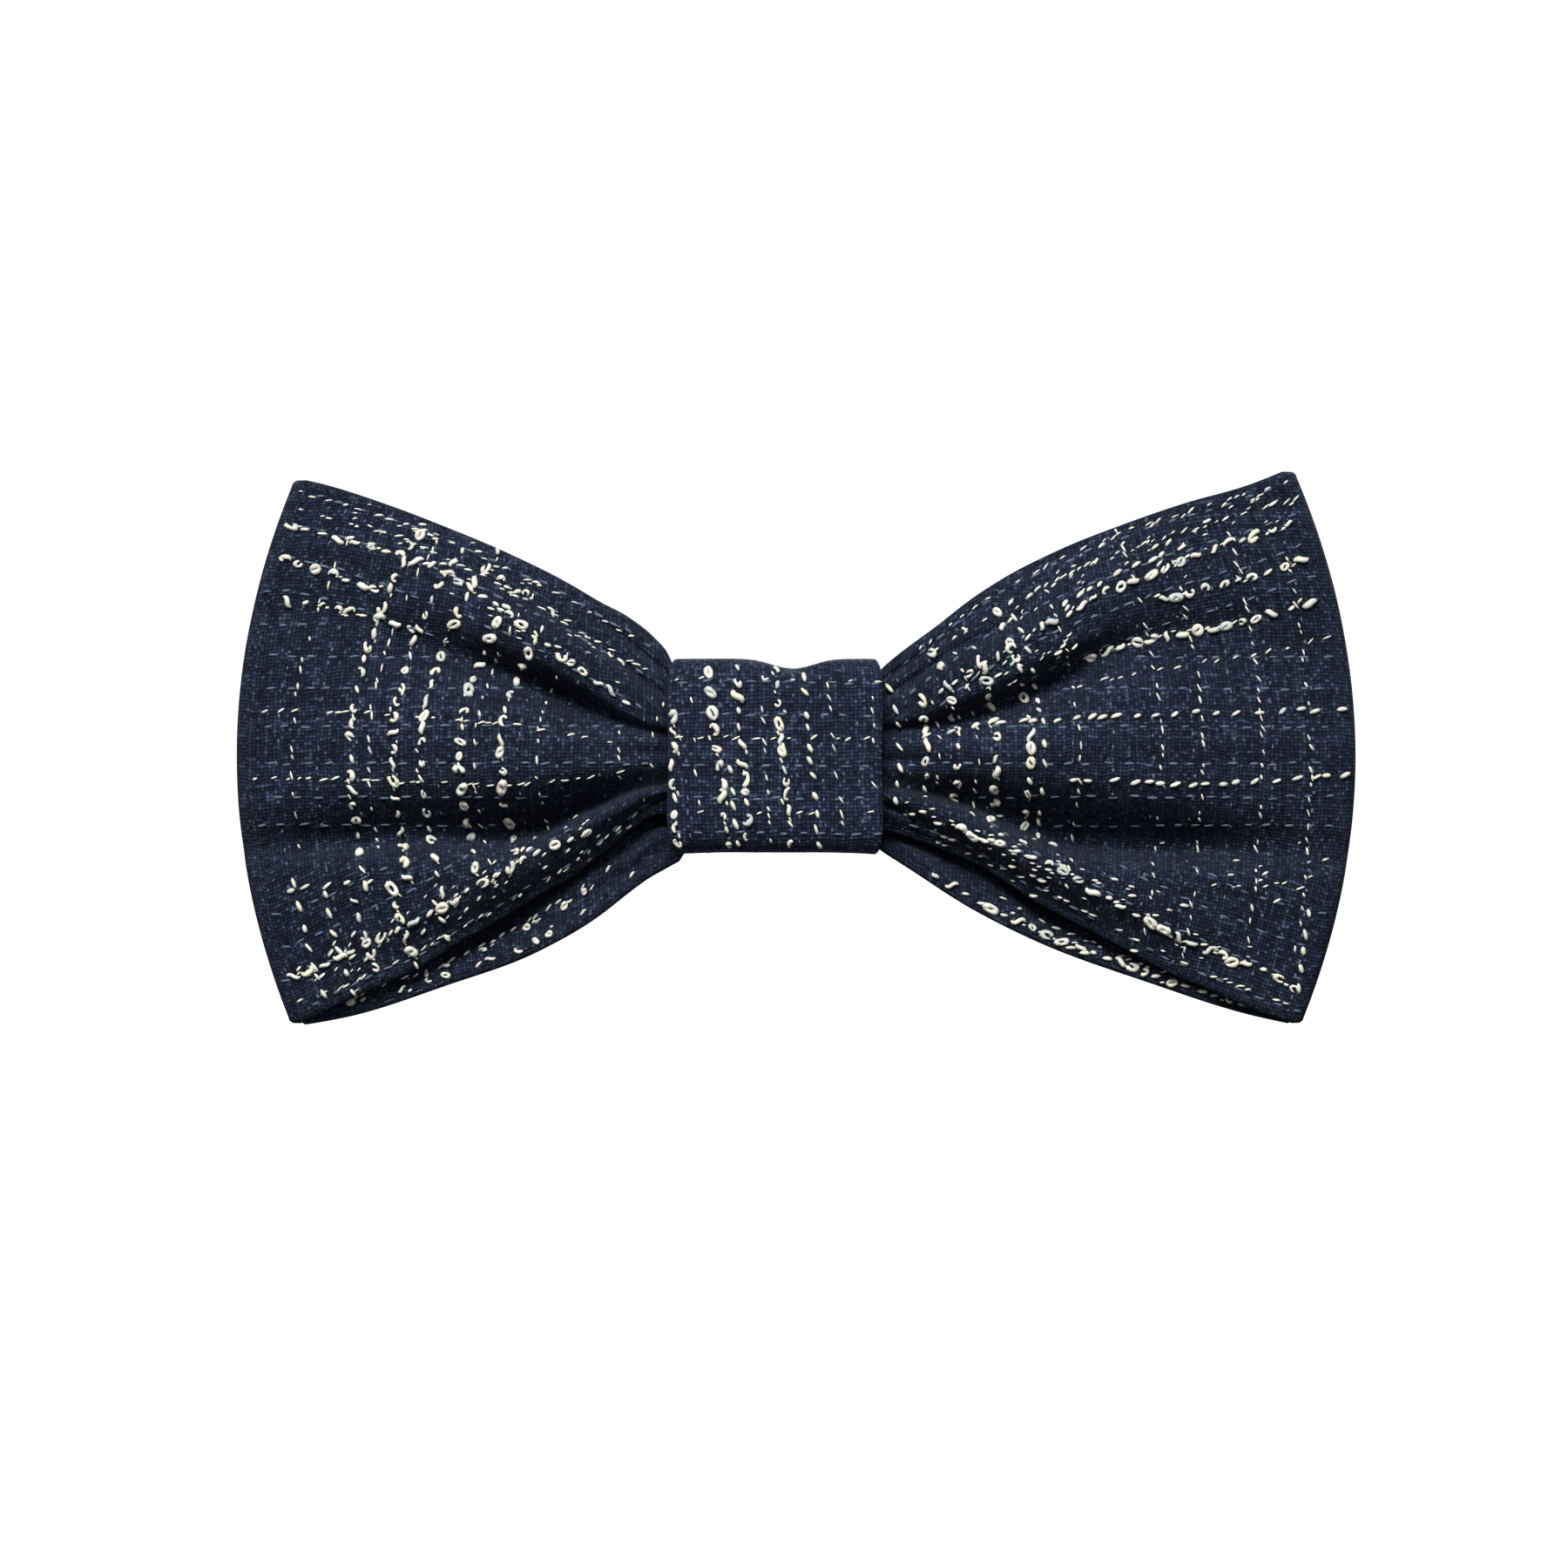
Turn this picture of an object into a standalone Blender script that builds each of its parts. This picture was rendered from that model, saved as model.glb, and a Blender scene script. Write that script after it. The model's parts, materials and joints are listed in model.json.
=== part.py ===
"""Clip-on bow tie: a gathered two-ply bow, a wrapped knot and a sprung collar clip behind it.

+X is to the viewer's right, +Z is up and the front faces -Y. y = 0 is the collar side of the clip's
base plate and x = 0, z = 0 is the middle of the knot. Dimensions are in millimetres until MM.
"""

import math

import bmesh
import bpy
import mathutils
import numpy as np

MM = 0.001
LEFT, RIGHT = -1, 1

# Bow strip: how far each wing reaches, and its outline as (distance from the knot's middle, height).
REACH = {LEFT: 57.8, RIGHT: 62.3}
END_CURVE = 0.0066  # 1/mm: each end fold curves back by this times its height squared
TOP_EDGE = {
    LEFT: [(0, 6.5), (9, 7.5), (11.3, 9.0), (12.8, 12.4), (18.8, 16.6), (28.6, 21.8), (38.4, 25.9), (52, 30)],
    RIGHT: [(0, 6.5), (9, 7.5), (11.3, 8.8), (13, 11), (17.3, 13.9), (23.9, 18.7), (33.8, 23.6), (44, 27), (56.4, 30.8)],
}
FRONT_LOWER_EDGE = {
    LEFT: [(0, -7.2), (9, -7.5), (11.3, -8.5), (13, -10.2), (17.8, -12.5), (25.3, -17.1), (32.8, -20.8), (42, -24.8), (52, -28.5)],
    RIGHT: [(0, -7.2), (9, -7.5), (11.3, -8.3), (14, -9.5), (19, -11), (25.4, -13.9), (33.1, -18), (45.7, -24.2), (56.4, -28.5)],
}
BACK_LOWER_EDGE = {
    LEFT: [(0, -7.2), (9, -7.6), (11.3, -8.9), (13, -12.6), (18.8, -17), (25.3, -20.9), (35.2, -24.5), (52, -28.5)],
    RIGHT: [(0, -7.2), (9, -7.6), (11.3, -8.7), (14.1, -11.7), (20.6, -15.9), (27.2, -19.3), (40.3, -24.3), (56.4, -28.5)],
}
BACK_TOP_DROP = 0.7

# Depths of the front and back panels in front of the clip plate, as (distance from the middle, depth).
FRONT_EDGE_DEPTH = [(0, 8.4), (9, 7.7), (12, 7.0), (18, 7.6), (28, 8.0), (40, 7.6), (50, 7.4), (60, 7.6)]
FRONT_BELLY = [(0, 2.0), (9, 2.3), (12, 3.4), (18, 5.0), (28, 6.3), (40, 4.6), (50, 2.2), (60, 0.5)]
BACK_DEPTH = {
    LEFT: [(0, 2.4), (7, 2.4), (10, 1.6), (28, 1.6), (40, 2.4), (50, 3.3), (60, 3.8)],
    RIGHT: [(0, 4.1), (6.5, 4.1), (11, 2.3), (14, 1.6), (28, 1.6), (40, 2.4), (50, 3.3), (60, 3.8)],
}
BELLY_POWER = 2.4
FOLD_RADIUS = 1.7
END_OVERLAP = 5.0  # each end of the strip passes the middle by this much, behind the knot

# The gathers: (line as distance and height, depth along it, half-width along it).
GATHERS = {
    LEFT: [
        (
            [(0, 2.4), (9, 2.5), (11.4, 2.8), (18, 5.4), (22.5, 8.3), (27, 11), (38, 16.7), (50, 21)],
            [(0, 1.6), (10, 2.0), (14, 2.8), (22, 3.1), (30, 1.8), (40, 0.6), (50, 0.1), (60, 0)],
            [(0, 1.1), (11, 1.3), (18, 1.8), (27, 2.4), (38, 3.4), (60, 4)],
        ),
        (
            [(0, -2.4), (9, -2.6), (11.4, -3), (18, -5.3), (27, -7.7), (36.6, -9.1), (44, -8.6), (60, -8.4)],
            [(0, 1.6), (10, 2.0), (16, 2.7), (27, 2.4), (36, 1.2), (44, 0.4), (52, 0.1), (60, 0)],
            [(0, 1.1), (11, 1.3), (18, 1.7), (27, 2.2), (38, 3.0), (60, 4)],
        ),
    ],
    RIGHT: [
        (
            [(0, 2.4), (9, 2.6), (11.4, 3), (19.7, 5.4), (28, 9.2), (36.6, 13.4), (50.6, 15.3), (60, 16)],
            [(0, 1.6), (10, 2.0), (14, 2.7), (24, 2.8), (32, 1.8), (42, 0.7), (52, 0.2), (60, 0)],
            [(0, 1.1), (11, 1.3), (18, 1.8), (27, 2.4), (38, 3.2), (60, 4)],
        ),
        (
            [(0, -2.4), (9, -3), (11.4, -3.5), (20.4, -4.8), (27.2, -6.8), (37.5, -7.9), (55.3, -8.4), (60, -8.4)],
            [(0, 1.6), (10, 2.0), (16, 2.8), (27, 2.7), (38, 1.7), (48, 0.8), (56, 0.3), (60, 0)],
            [(0, 1.1), (11, 1.3), (18, 1.7), (27, 2.1), (38, 2.6), (60, 3.4)],
        ),
    ],
}

# The strip's plies as (inner offset start, inner offset end) from its outer face.
OUTER_PLY = (0.0, 0.5)
BOW_INTERLINING = (0.6, 0.9)
INNER_PLY = (1.0, 1.4)

FRONT_ROWS = [2.5, 5.5, 8.5, 10.4, 11.6, 12.8, 14.8, 17.5, 20.5, 24, 28, 32, 36.5, 41, 46, 51]
BACK_ROWS = [50, 43, 36, 29, 22, 16, 12.5, 10, 7, 2, -END_OVERLAP]
FOLD_STEPS = 5
ACROSS = 19

# Knot
KNOT_FRONT_WIDTH, KNOT_BACK_WIDTH = 22.9, 17.0
KNOT_TOP, KNOT_BOTTOM = 10.4, -10.2
KNOT_FRONT = -13.5
WRAP_THICKNESS = 0.7
WRAP_BACK_GAP = 0.25  # from the clip plate to the wrap's inner turn
WRAP_TURN_GAP = 0.1
WRAP_END_HEIGHT = 3.5
KNOT_EDGE_DROOP = 0.8  # the front face falls back by this at its two side edges
KNOT_TOP_DIP = 0.8
PAD_THICKNESS = 0.8
PAD_GAP = 0.3

THREAD_RADIUS = 0.3
STITCH_RADIUS = 0.2
WHIPSTITCHES = 8

# Clip
PLATE_LENGTH, PLATE_WIDTH, PLATE_THICKNESS = 54.0, 9.2, 0.8
PLATE_WAIST_WIDTH, PLATE_WAIST_LENGTH = 7.2, 18.0
PIN_X, PIN_Y = 13.5, 2.4
PIN_RADIUS, PIN_HEAD_RADIUS = 0.7, 1.15
PIN_HALF_LENGTH = 5.9
PIN_HEAD_THICKNESS = 0.4
EAR_HALF_LENGTH, EAR_THICKNESS = 1.9, 0.7
EAR_BORE = PIN_RADIUS + 0.03
JAW_BORE = PIN_RADIUS + 0.06
JAW_WIDTH = 8.2
JAW_SHEET = 0.6
JAW_FLAT = (11.0, 17.2)
JAW_BACK_Y = 4.9
LEVER_TIP = (5.0, 8.2)
JAW_NOSE = (26.5, 2.6)
TOOTH_TIP_Y = 0.95
TOOTH_COUNT = 4
GRIP_PAD_SPAN = (19.4, 26.6)
GRIP_PAD_WIDTH, GRIP_PAD_THICKNESS = 7.6, 0.6
SPRING_COIL_RADIUS, SPRING_WIRE_RADIUS = 1.3, 0.25
SPRING_TURNS, SPRING_PITCH = 4, 0.62
SPRING_LOWER_LEG_END = (9.4, 0.5)
SPRING_UPPER_LEG = [(11.3, 3.75), (8.9, 4.95)]


def smooth_curve(points, x):
    """Height of the smooth curve through points at x, held level beyond its ends."""
    xs, ys = (np.array(column, float) for column in zip(*points))
    slopes = np.gradient(ys, xs)
    x = np.clip(x, xs[0], xs[-1])
    i = np.clip(np.searchsorted(xs, x) - 1, 0, len(xs) - 2)
    step = xs[i + 1] - xs[i]
    u = (x - xs[i]) / step
    rise = ys[i + 1] - ys[i]
    a = slopes[i] * step - rise
    b = rise - slopes[i + 1] * step
    return ys[i] + u * rise + u * (1 - u) * (a * (1 - u) + b * u)


def end_curve(side, distance):
    return END_CURVE * np.clip((distance - 10) / (REACH[side] - 10), 0, 1)


def edge_height(side, edge, distance):
    """Height at which the row of the strip at this distance meets the given edge."""
    height = 0.0
    for _ in range(12):
        reached = distance - end_curve(side, distance) * height**2
        height = 0.5 * (height + smooth_curve(edge[side], reached))
    return height


def row_across(side, distance, lower_edge, top_drop):
    """Points across the strip at one distance from the knot: (sideways, height)."""
    top = edge_height(side, TOP_EDGE, distance) - top_drop
    low = edge_height(side, lower_edge, distance)
    height = np.linspace(low, top, ACROSS)
    return distance - end_curve(side, distance) * height**2, height


def front_depth(side, sideways, height, distance):
    """Depth of the front panel: a belly with its edges rolled back, less the gathers."""
    top = edge_height(side, TOP_EDGE, distance)
    low = edge_height(side, FRONT_LOWER_EDGE, distance)
    across = np.where(height > 0, height / top, height / low)
    belly = smooth_curve(FRONT_BELLY, distance) * (1 - np.abs(across) ** BELLY_POWER)
    depth = smooth_curve(FRONT_EDGE_DEPTH, distance) + belly
    for line, valley, width in GATHERS[side]:
        off = (height - smooth_curve(line, sideways)) / smooth_curve(width, sideways)
        depth = depth - smooth_curve(valley, sideways) * np.exp(-(off**2))
    return depth


def front_row(side, distance):
    sideways, height = row_across(side, distance, FRONT_LOWER_EDGE, 0.0)
    depth = front_depth(side, sideways, height, distance)
    inward = np.tile([0.0, 1.0, 0.0], (ACROSS, 1))
    return np.stack([side * sideways, -depth, height], 1), inward


def back_row(side, distance):
    fade = float(np.clip((REACH[side] - 8 - distance) / 8, 0, 1))
    sideways, height = row_across(side, distance, BACK_LOWER_EDGE, BACK_TOP_DROP * fade)
    depth = np.full(ACROSS, smooth_curve(BACK_DEPTH[side], distance))
    inward = np.tile([0.0, -1.0, 0.0], (ACROSS, 1))
    return np.stack([side * sideways, -depth, height], 1), inward


def fold_rows(side):
    """Rows round the end fold, from just past the front panel to just before the back one."""
    start = REACH[side] - FOLD_RADIUS
    front, _ = front_row(side, start)
    back, _ = back_row(side, start)
    middle = 0.5 * (front + back)
    half = 0.5 * (front[:, 1] - back[:, 1])
    rows = []
    for step in range(1, FOLD_STEPS):
        angle = math.pi * step / FOLD_STEPS
        row = middle.copy()
        row[:, 0] += side * FOLD_RADIUS * math.sin(angle)
        row[:, 1] += half * math.cos(angle)
        inward = np.tile([-side * math.sin(angle), math.cos(angle), 0.0], (ACROSS, 1))
        rows.append((row, inward))
    return rows


def strip_rows():
    """The whole strip: back of the left wing, its fold, both fronts, the right fold, the right back."""
    ends = {side: REACH[side] - FOLD_RADIUS for side in (LEFT, RIGHT)}
    rows = [back_row(LEFT, distance) for distance in reversed(BACK_ROWS)]
    rows += [back_row(LEFT, ends[LEFT])]
    rows += list(reversed(fold_rows(LEFT)))
    rows += [front_row(LEFT, ends[LEFT])]
    rows += [front_row(LEFT, distance) for distance in reversed(FRONT_ROWS)]
    rows += [front_row(RIGHT, 0.0)]
    rows += [front_row(RIGHT, distance) for distance in FRONT_ROWS]
    rows += [front_row(RIGHT, ends[RIGHT])]
    rows += fold_rows(RIGHT)
    rows += [back_row(RIGHT, ends[RIGHT])]
    rows += [back_row(RIGHT, distance) for distance in BACK_ROWS]
    return np.array([row for row, _ in rows]), np.array([inward for _, inward in rows])


def material(name, colour, roughness, metallic=0.0, sheen=0.0):
    made = bpy.data.materials.new(name)
    made.use_nodes = True
    shader = made.node_tree.nodes["Principled BSDF"]
    shader.inputs["Base Color"].default_value = (*colour, 1.0)
    shader.inputs["Roughness"].default_value = roughness
    shader.inputs["Metallic"].default_value = metallic
    shader.inputs["Sheen Weight"].default_value = sheen
    made.diffuse_color = (*colour, 1.0)
    return made


def add_object(name, points, faces, look, smooth=True, origin=(0.0, 0.0, 0.0)):
    """A mesh object from points in millimetres, its normals facing out."""
    offset = np.array(origin, float)
    mesh = bpy.data.meshes.new(name)
    mesh.from_pydata(((np.asarray(points, float) - offset) * MM).tolist(), [], faces)
    shell = bmesh.new()
    shell.from_mesh(mesh)
    bmesh.ops.recalc_face_normals(shell, faces=shell.faces)
    shell.to_mesh(mesh)
    shell.free()
    mesh.polygons.foreach_set("use_smooth", [smooth] * len(mesh.polygons))
    mesh.materials.append(look)
    made = bpy.data.objects.new(name, mesh)
    made.location = offset * MM
    bpy.context.scene.collection.objects.link(made)
    return made


def slab(name, outer, inner, look):
    """A closed sheet between two matching grids of points."""
    rows, columns = outer.shape[:2]
    points = np.concatenate([outer.reshape(-1, 3), inner.reshape(-1, 3)])
    behind = rows * columns
    faces = []
    for i in range(rows - 1):
        for j in range(columns - 1):
            a = i * columns + j
            b, c, d = a + 1, a + columns + 1, a + columns
            faces += [(a, b, c), (a, c, d)]
            faces += [(behind + c, behind + b, behind + a), (behind + d, behind + c, behind + a)]
    rim = [j for j in range(columns)]
    rim += [i * columns + columns - 1 for i in range(1, rows)]
    rim += [(rows - 1) * columns + j for j in range(columns - 2, -1, -1)]
    rim += [i * columns for i in range(rows - 2, 0, -1)]
    for here, there in zip(rim, rim[1:] + rim[:1]):
        faces.append((here, there, behind + there, behind + here))
    return add_object(name, points, faces, look)


def swept(name, sections, look, closed=False, smooth=True):
    """A closed solid through a list of equal rings of points, capped unless it meets itself."""
    count, around = len(sections), len(sections[0])
    points = np.concatenate(sections)
    faces = []
    for i in range(count if closed else count - 1):
        k = (i + 1) % count
        for j in range(around):
            m = (j + 1) % around
            faces.append((i * around + j, i * around + m, k * around + m, k * around + j))
    if not closed:
        faces.append(tuple(range(around)))
        faces.append(tuple((count - 1) * around + j for j in reversed(range(around))))
    return add_object(name, points, faces, look, smooth)


def tube_sections(path, radius, sides=8):
    """Rings of a round wire along a path, each turned as little as possible from the last."""
    path = np.asarray(path, float)
    along = np.gradient(path, axis=0)
    along /= np.linalg.norm(along, axis=1, keepdims=True)
    across = np.cross(along[0], [0.36, 0.48, 0.8])
    rings = []
    for point, way in zip(path, along):
        across = across - way * np.dot(across, way)
        across /= np.linalg.norm(across)
        third = np.cross(way, across)
        angles = 2 * math.pi * np.arange(sides) / sides
        ring = np.outer(np.cos(angles), across) + np.outer(np.sin(angles), third)
        rings.append(point + radius * ring)
    return rings


def thread(name, path, radius, look, sides=6):
    return swept(name, tube_sections(path, radius, sides), look)


def prism(name, outline, low, high, axis, look):
    """The outline, as pairs in the two axes other than `axis`, carried from low to high."""
    low_ring = np.insert(np.asarray(outline, float), axis, low, axis=1)
    high_ring = np.insert(np.asarray(outline, float), axis, high, axis=1)
    return swept(name, [low_ring, high_ring], look, smooth=False)


def arc(centre, radius, start, end, steps):
    angles = np.radians(np.linspace(start, end, steps))
    return [(centre[0] + radius * math.cos(a), centre[1] + radius * math.sin(a)) for a in angles]


def combine(target, other, operation):
    """Joins `other` to the target, or cuts it away, and removes it."""
    modifier = target.modifiers.new(operation.title(), "BOOLEAN")
    modifier.operation = operation
    modifier.solver = "EXACT"
    modifier.object = other
    bpy.context.view_layer.update()
    graph = bpy.context.evaluated_depsgraph_get()
    result = bpy.data.meshes.new_from_object(target.evaluated_get(graph))
    target.modifiers.clear()
    target.data = result
    bpy.data.objects.remove(other, do_unlink=True)


def polyline(points, spacing):
    """Points spaced evenly along straight runs between the given corners."""
    corners = np.asarray(points, float)
    lengths = np.concatenate([[0], np.cumsum(np.linalg.norm(np.diff(corners, axis=0), axis=1))])
    places = np.linspace(0, lengths[-1], max(2, round(lengths[-1] / spacing) + 1))
    return np.stack([np.interp(places, lengths, corners[:, k]) for k in range(corners.shape[1])], 1)


def rounded_path(corners, radii, steps=6):
    """The corners joined by straight runs, each inner corner rounded to its radius."""
    corners = [np.array(corner, float) for corner in corners]
    path = [corners[0]]
    for before, corner, after, radius in zip(corners, corners[1:], corners[2:], radii):
        back = (before - corner) / np.linalg.norm(before - corner)
        ahead = (after - corner) / np.linalg.norm(after - corner)
        turn = math.acos(np.clip(np.dot(back, ahead), -1, 1))
        reach = radius / math.tan(turn / 2)
        centre = corner + (back + ahead) / np.linalg.norm(back + ahead) * radius / math.sin(turn / 2)
        first, last = corner + back * reach - centre, corner + ahead * reach - centre
        sweep = math.acos(np.clip(np.dot(first, last) / radius**2, -1, 1))
        for step in range(steps + 1):
            u = step / steps
            blend = math.sin((1 - u) * sweep) * first + math.sin(u * sweep) * last
            path.append(centre + blend / math.sin(sweep))
    path.append(corners[-1])
    return np.array(path)


def knot_half_width(depth_share):
    """Half the knot's width, from its front (0) to its back (1)."""
    eased = depth_share**2 * (3 - 2 * depth_share)
    return 0.5 * (KNOT_FRONT_WIDTH + (KNOT_BACK_WIDTH - KNOT_FRONT_WIDTH) * eased)


def band(name, path, thickness, inset, look, columns=9):
    """A flat band following a path in (y, z), with rounded side edges and the knot's front shape."""
    tangent = np.gradient(path, axis=0)
    tangent /= np.linalg.norm(tangent, axis=1, keepdims=True)
    outward = np.stack([tangent[:, 1], -tangent[:, 0]], 1)
    middle = np.array([-6.0, 0.0])
    if np.sum(outward * (path - middle)) < 0:
        outward = -outward
    sections = []
    for point, normal in zip(path, outward):
        share = float(np.clip((point[0] - KNOT_FRONT) / -KNOT_FRONT, 0, 1))
        half = knot_half_width(share) - inset
        flat = half - 0.5 * thickness
        side = np.linspace(-flat, flat, columns)
        ring = [(x, 0.5 * thickness) for x in side]
        ring += [(x, r) for x, r in arc((flat, 0), 0.5 * thickness, 60, -60, 3)]
        ring += [(x, -0.5 * thickness) for x in reversed(side)]
        ring += [(x, r) for x, r in arc((-flat, 0), 0.5 * thickness, 240, 120, 3)]
        ring = np.array(ring)
        front = max(0.0, -normal[0])
        top = max(0.0, normal[1]) * (1 - share)
        droop = KNOT_EDGE_DROOP * front * np.abs(ring[:, 0] / half) ** 3
        dip = KNOT_TOP_DIP * top * np.exp(-(((ring[:, 0] - 2.5) / 2.6) ** 2))
        lift = ring[:, 1] - droop - dip
        sections.append(np.stack([ring[:, 0], point[0] + normal[0] * lift, point[1] + normal[1] * lift], 1))
    return swept(name, sections, look)


def build_bow(tweed, lining, cotton):
    surface, inward = strip_rows()
    for name, (start, end), trim in (
        ("bow_outer_ply", OUTER_PLY, 0),
        ("bow_interlining", BOW_INTERLINING, 1),
        ("bow_inner_ply", INNER_PLY, 0),
    ):
        kept = slice(trim, ACROSS - trim)
        look = lining if trim else tweed
        slab(name, (surface + start * inward)[:, kept], (surface + end * inward)[:, kept], look)

    corners = [(-1.7, 0), (-1.7, 7.3), (-11.0, 7.3), (-11.0, -7.9), (-1.7, -7.9), (-1.7, -0.01)]
    turn = rounded_path(corners, [1.4, 2.4, 2.4, 1.4], steps=4)
    winding = np.concatenate([turn[:-1]] * 3)
    shift = np.linspace(-1.5, 1.5, len(winding))
    thread("gather_thread", np.column_stack([shift, winding]), THREAD_RADIUS, cotton)

    heights = np.linspace(-6.0, 6.0, 17)
    zigzag = np.where(np.arange(17) % 2 == 0, 2.4, 4.0)
    seat = -BACK_DEPTH[LEFT][0][1] + STITCH_RADIUS + 0.05
    seam = np.column_stack([zigzag, np.full(17, seat), heights])
    thread("centre_back_stitch", polyline(seam, 0.6), STITCH_RADIUS, cotton)


def build_knot(tweed, lining, cotton):
    inner_turn = WRAP_BACK_GAP + 0.5 * WRAP_THICKNESS
    outer_turn = inner_turn + WRAP_THICKNESS + WRAP_TURN_GAP
    front = KNOT_FRONT + 0.5 * WRAP_THICKNESS
    top = KNOT_TOP - 0.5 * WRAP_THICKNESS
    low = KNOT_BOTTOM + 0.5 * WRAP_THICKNESS
    corners = [
        (inner_turn, -WRAP_END_HEIGHT),
        (inner_turn, top),
        (front, top),
        (front, low),
        (outer_turn, low),
        (outer_turn, WRAP_END_HEIGHT),
    ]
    path = rounded_path(corners, [2.2, 3.4, 3.4, 2.6], steps=7)
    path = np.concatenate([polyline(path[i : i + 2], 1.6)[:-1] for i in range(len(path) - 1)] + [path[-1:]])
    band("knot_wrap", path, WRAP_THICKNESS, 0.0, tweed)

    step_in = WRAP_THICKNESS + PAD_GAP + 0.5 * (PAD_THICKNESS - WRAP_THICKNESS)
    corners = [
        (-2.4, top - step_in),
        (front + step_in, top - step_in),
        (front + step_in, low + step_in),
        (-2.4, low + step_in),
    ]
    path = rounded_path(corners, [2.4, 2.4], steps=5)
    path = np.concatenate([polyline(path[i : i + 2], 2.0)[:-1] for i in range(len(path) - 1)] + [path[-1:]])
    band("knot_interlining", path, PAD_THICKNESS, 1.2, lining, columns=7)

    over = outer_turn + 0.5 * WRAP_THICKNESS + STITCH_RADIUS + 0.05
    under = inner_turn + 0.5 * WRAP_THICKNESS + STITCH_RADIUS + 0.1
    edge = WRAP_END_HEIGHT + STITCH_RADIUS + 0.1
    turns = np.linspace(0, 2 * math.pi * WHIPSTITCHES, 20 * WHIPSTITCHES + 1)
    rise = edge - 0.5 - 0.9 * np.cos(turns)
    drop = np.clip((rise - edge) / 0.4, 0, 1)
    out = over - (over - under) * drop**2 * (3 - 2 * drop)
    seam = np.column_stack([np.linspace(-7.2, 7.2, len(turns)), out, rise])
    thread("knot_whipstitch", seam, STITCH_RADIUS, cotton, sides=5)


def plate_outline():
    """Outline of the base plate in (x, z): a waisted strip with rounded ends."""
    half, wide, waist = 0.5 * PLATE_LENGTH, 0.5 * PLATE_WIDTH, 0.5 * PLATE_WAIST_WIDTH
    corner = 2.6
    quarter = arc((half - corner, wide - corner), corner, 0, 90, 6)
    quarter += [(0.5 * PLATE_WAIST_LENGTH + 1.0, wide), (0.5 * PLATE_WAIST_LENGTH, waist)]
    outline = quarter + [(-x, z) for x, z in reversed(quarter)]
    return outline + [(-x, -z) for x, z in quarter] + [(x, -z) for x, z in reversed(quarter)]


def build_base(steel, pin_metal, vinyl):
    plate = prism("clip_base_plate", plate_outline(), -PLATE_THICKNESS, 0.0, 1, steel)
    for side in (LEFT, RIGHT):
        for face in (-1, 1):
            inner = face * (0.5 * PLATE_WIDTH - 0.15)
            outer = face * (0.5 * PLATE_WIDTH + EAR_THICKNESS)
            ear = [(side * PIN_X + EAR_HALF_LENGTH, -PLATE_THICKNESS)]
            ear += arc((side * PIN_X, PIN_Y), EAR_HALF_LENGTH, 0, 180, 13)
            ear += [(side * PIN_X - EAR_HALF_LENGTH, -PLATE_THICKNESS)]
            combine(plate, prism("ear", ear, min(inner, outer), max(inner, outer), 2, steel), "UNION")
        bore = arc((side * PIN_X, PIN_Y), EAR_BORE, 0, 345, 24)
        combine(plate, prism("bore", bore, -8, 8, 2, steel), "DIFFERENCE")

        name = "left" if side == LEFT else "right"
        profile = [
            (-PIN_HALF_LENGTH, PIN_HEAD_RADIUS - 0.2),
            (-PIN_HALF_LENGTH + 0.15, PIN_HEAD_RADIUS),
            (-PIN_HALF_LENGTH + PIN_HEAD_THICKNESS, PIN_HEAD_RADIUS),
            (-PIN_HALF_LENGTH + PIN_HEAD_THICKNESS, PIN_RADIUS),
        ]
        profile += [(-height, radius) for height, radius in reversed(profile)]
        angles = 2 * math.pi * np.arange(24) / 24
        circle = np.column_stack([np.cos(angles), np.sin(angles), np.zeros(24)])
        centre = np.array([side * PIN_X, PIN_Y, 0.0])
        rings = [centre + radius * circle + [0, 0, height] for height, radius in profile]
        swept(f"hinge_pin_{name}", rings, pin_metal)

        half = 0.5 * GRIP_PAD_WIDTH
        ends = (GRIP_PAD_SPAN[0], GRIP_PAD_SPAN[1])
        outline = arc((ends[1] - 2.0, half - 2.0), 2.0, 90, 0, 5)
        outline += [(x, -z) for x, z in reversed(outline)]
        outline += [(ends[0], -half), (ends[0], half)]
        outline = [(side * x, z) for x, z in outline]
        prism(f"grip_pad_{name}", outline, 0.1, 0.1 + GRIP_PAD_THICKNESS, 1, vinyl)


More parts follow.
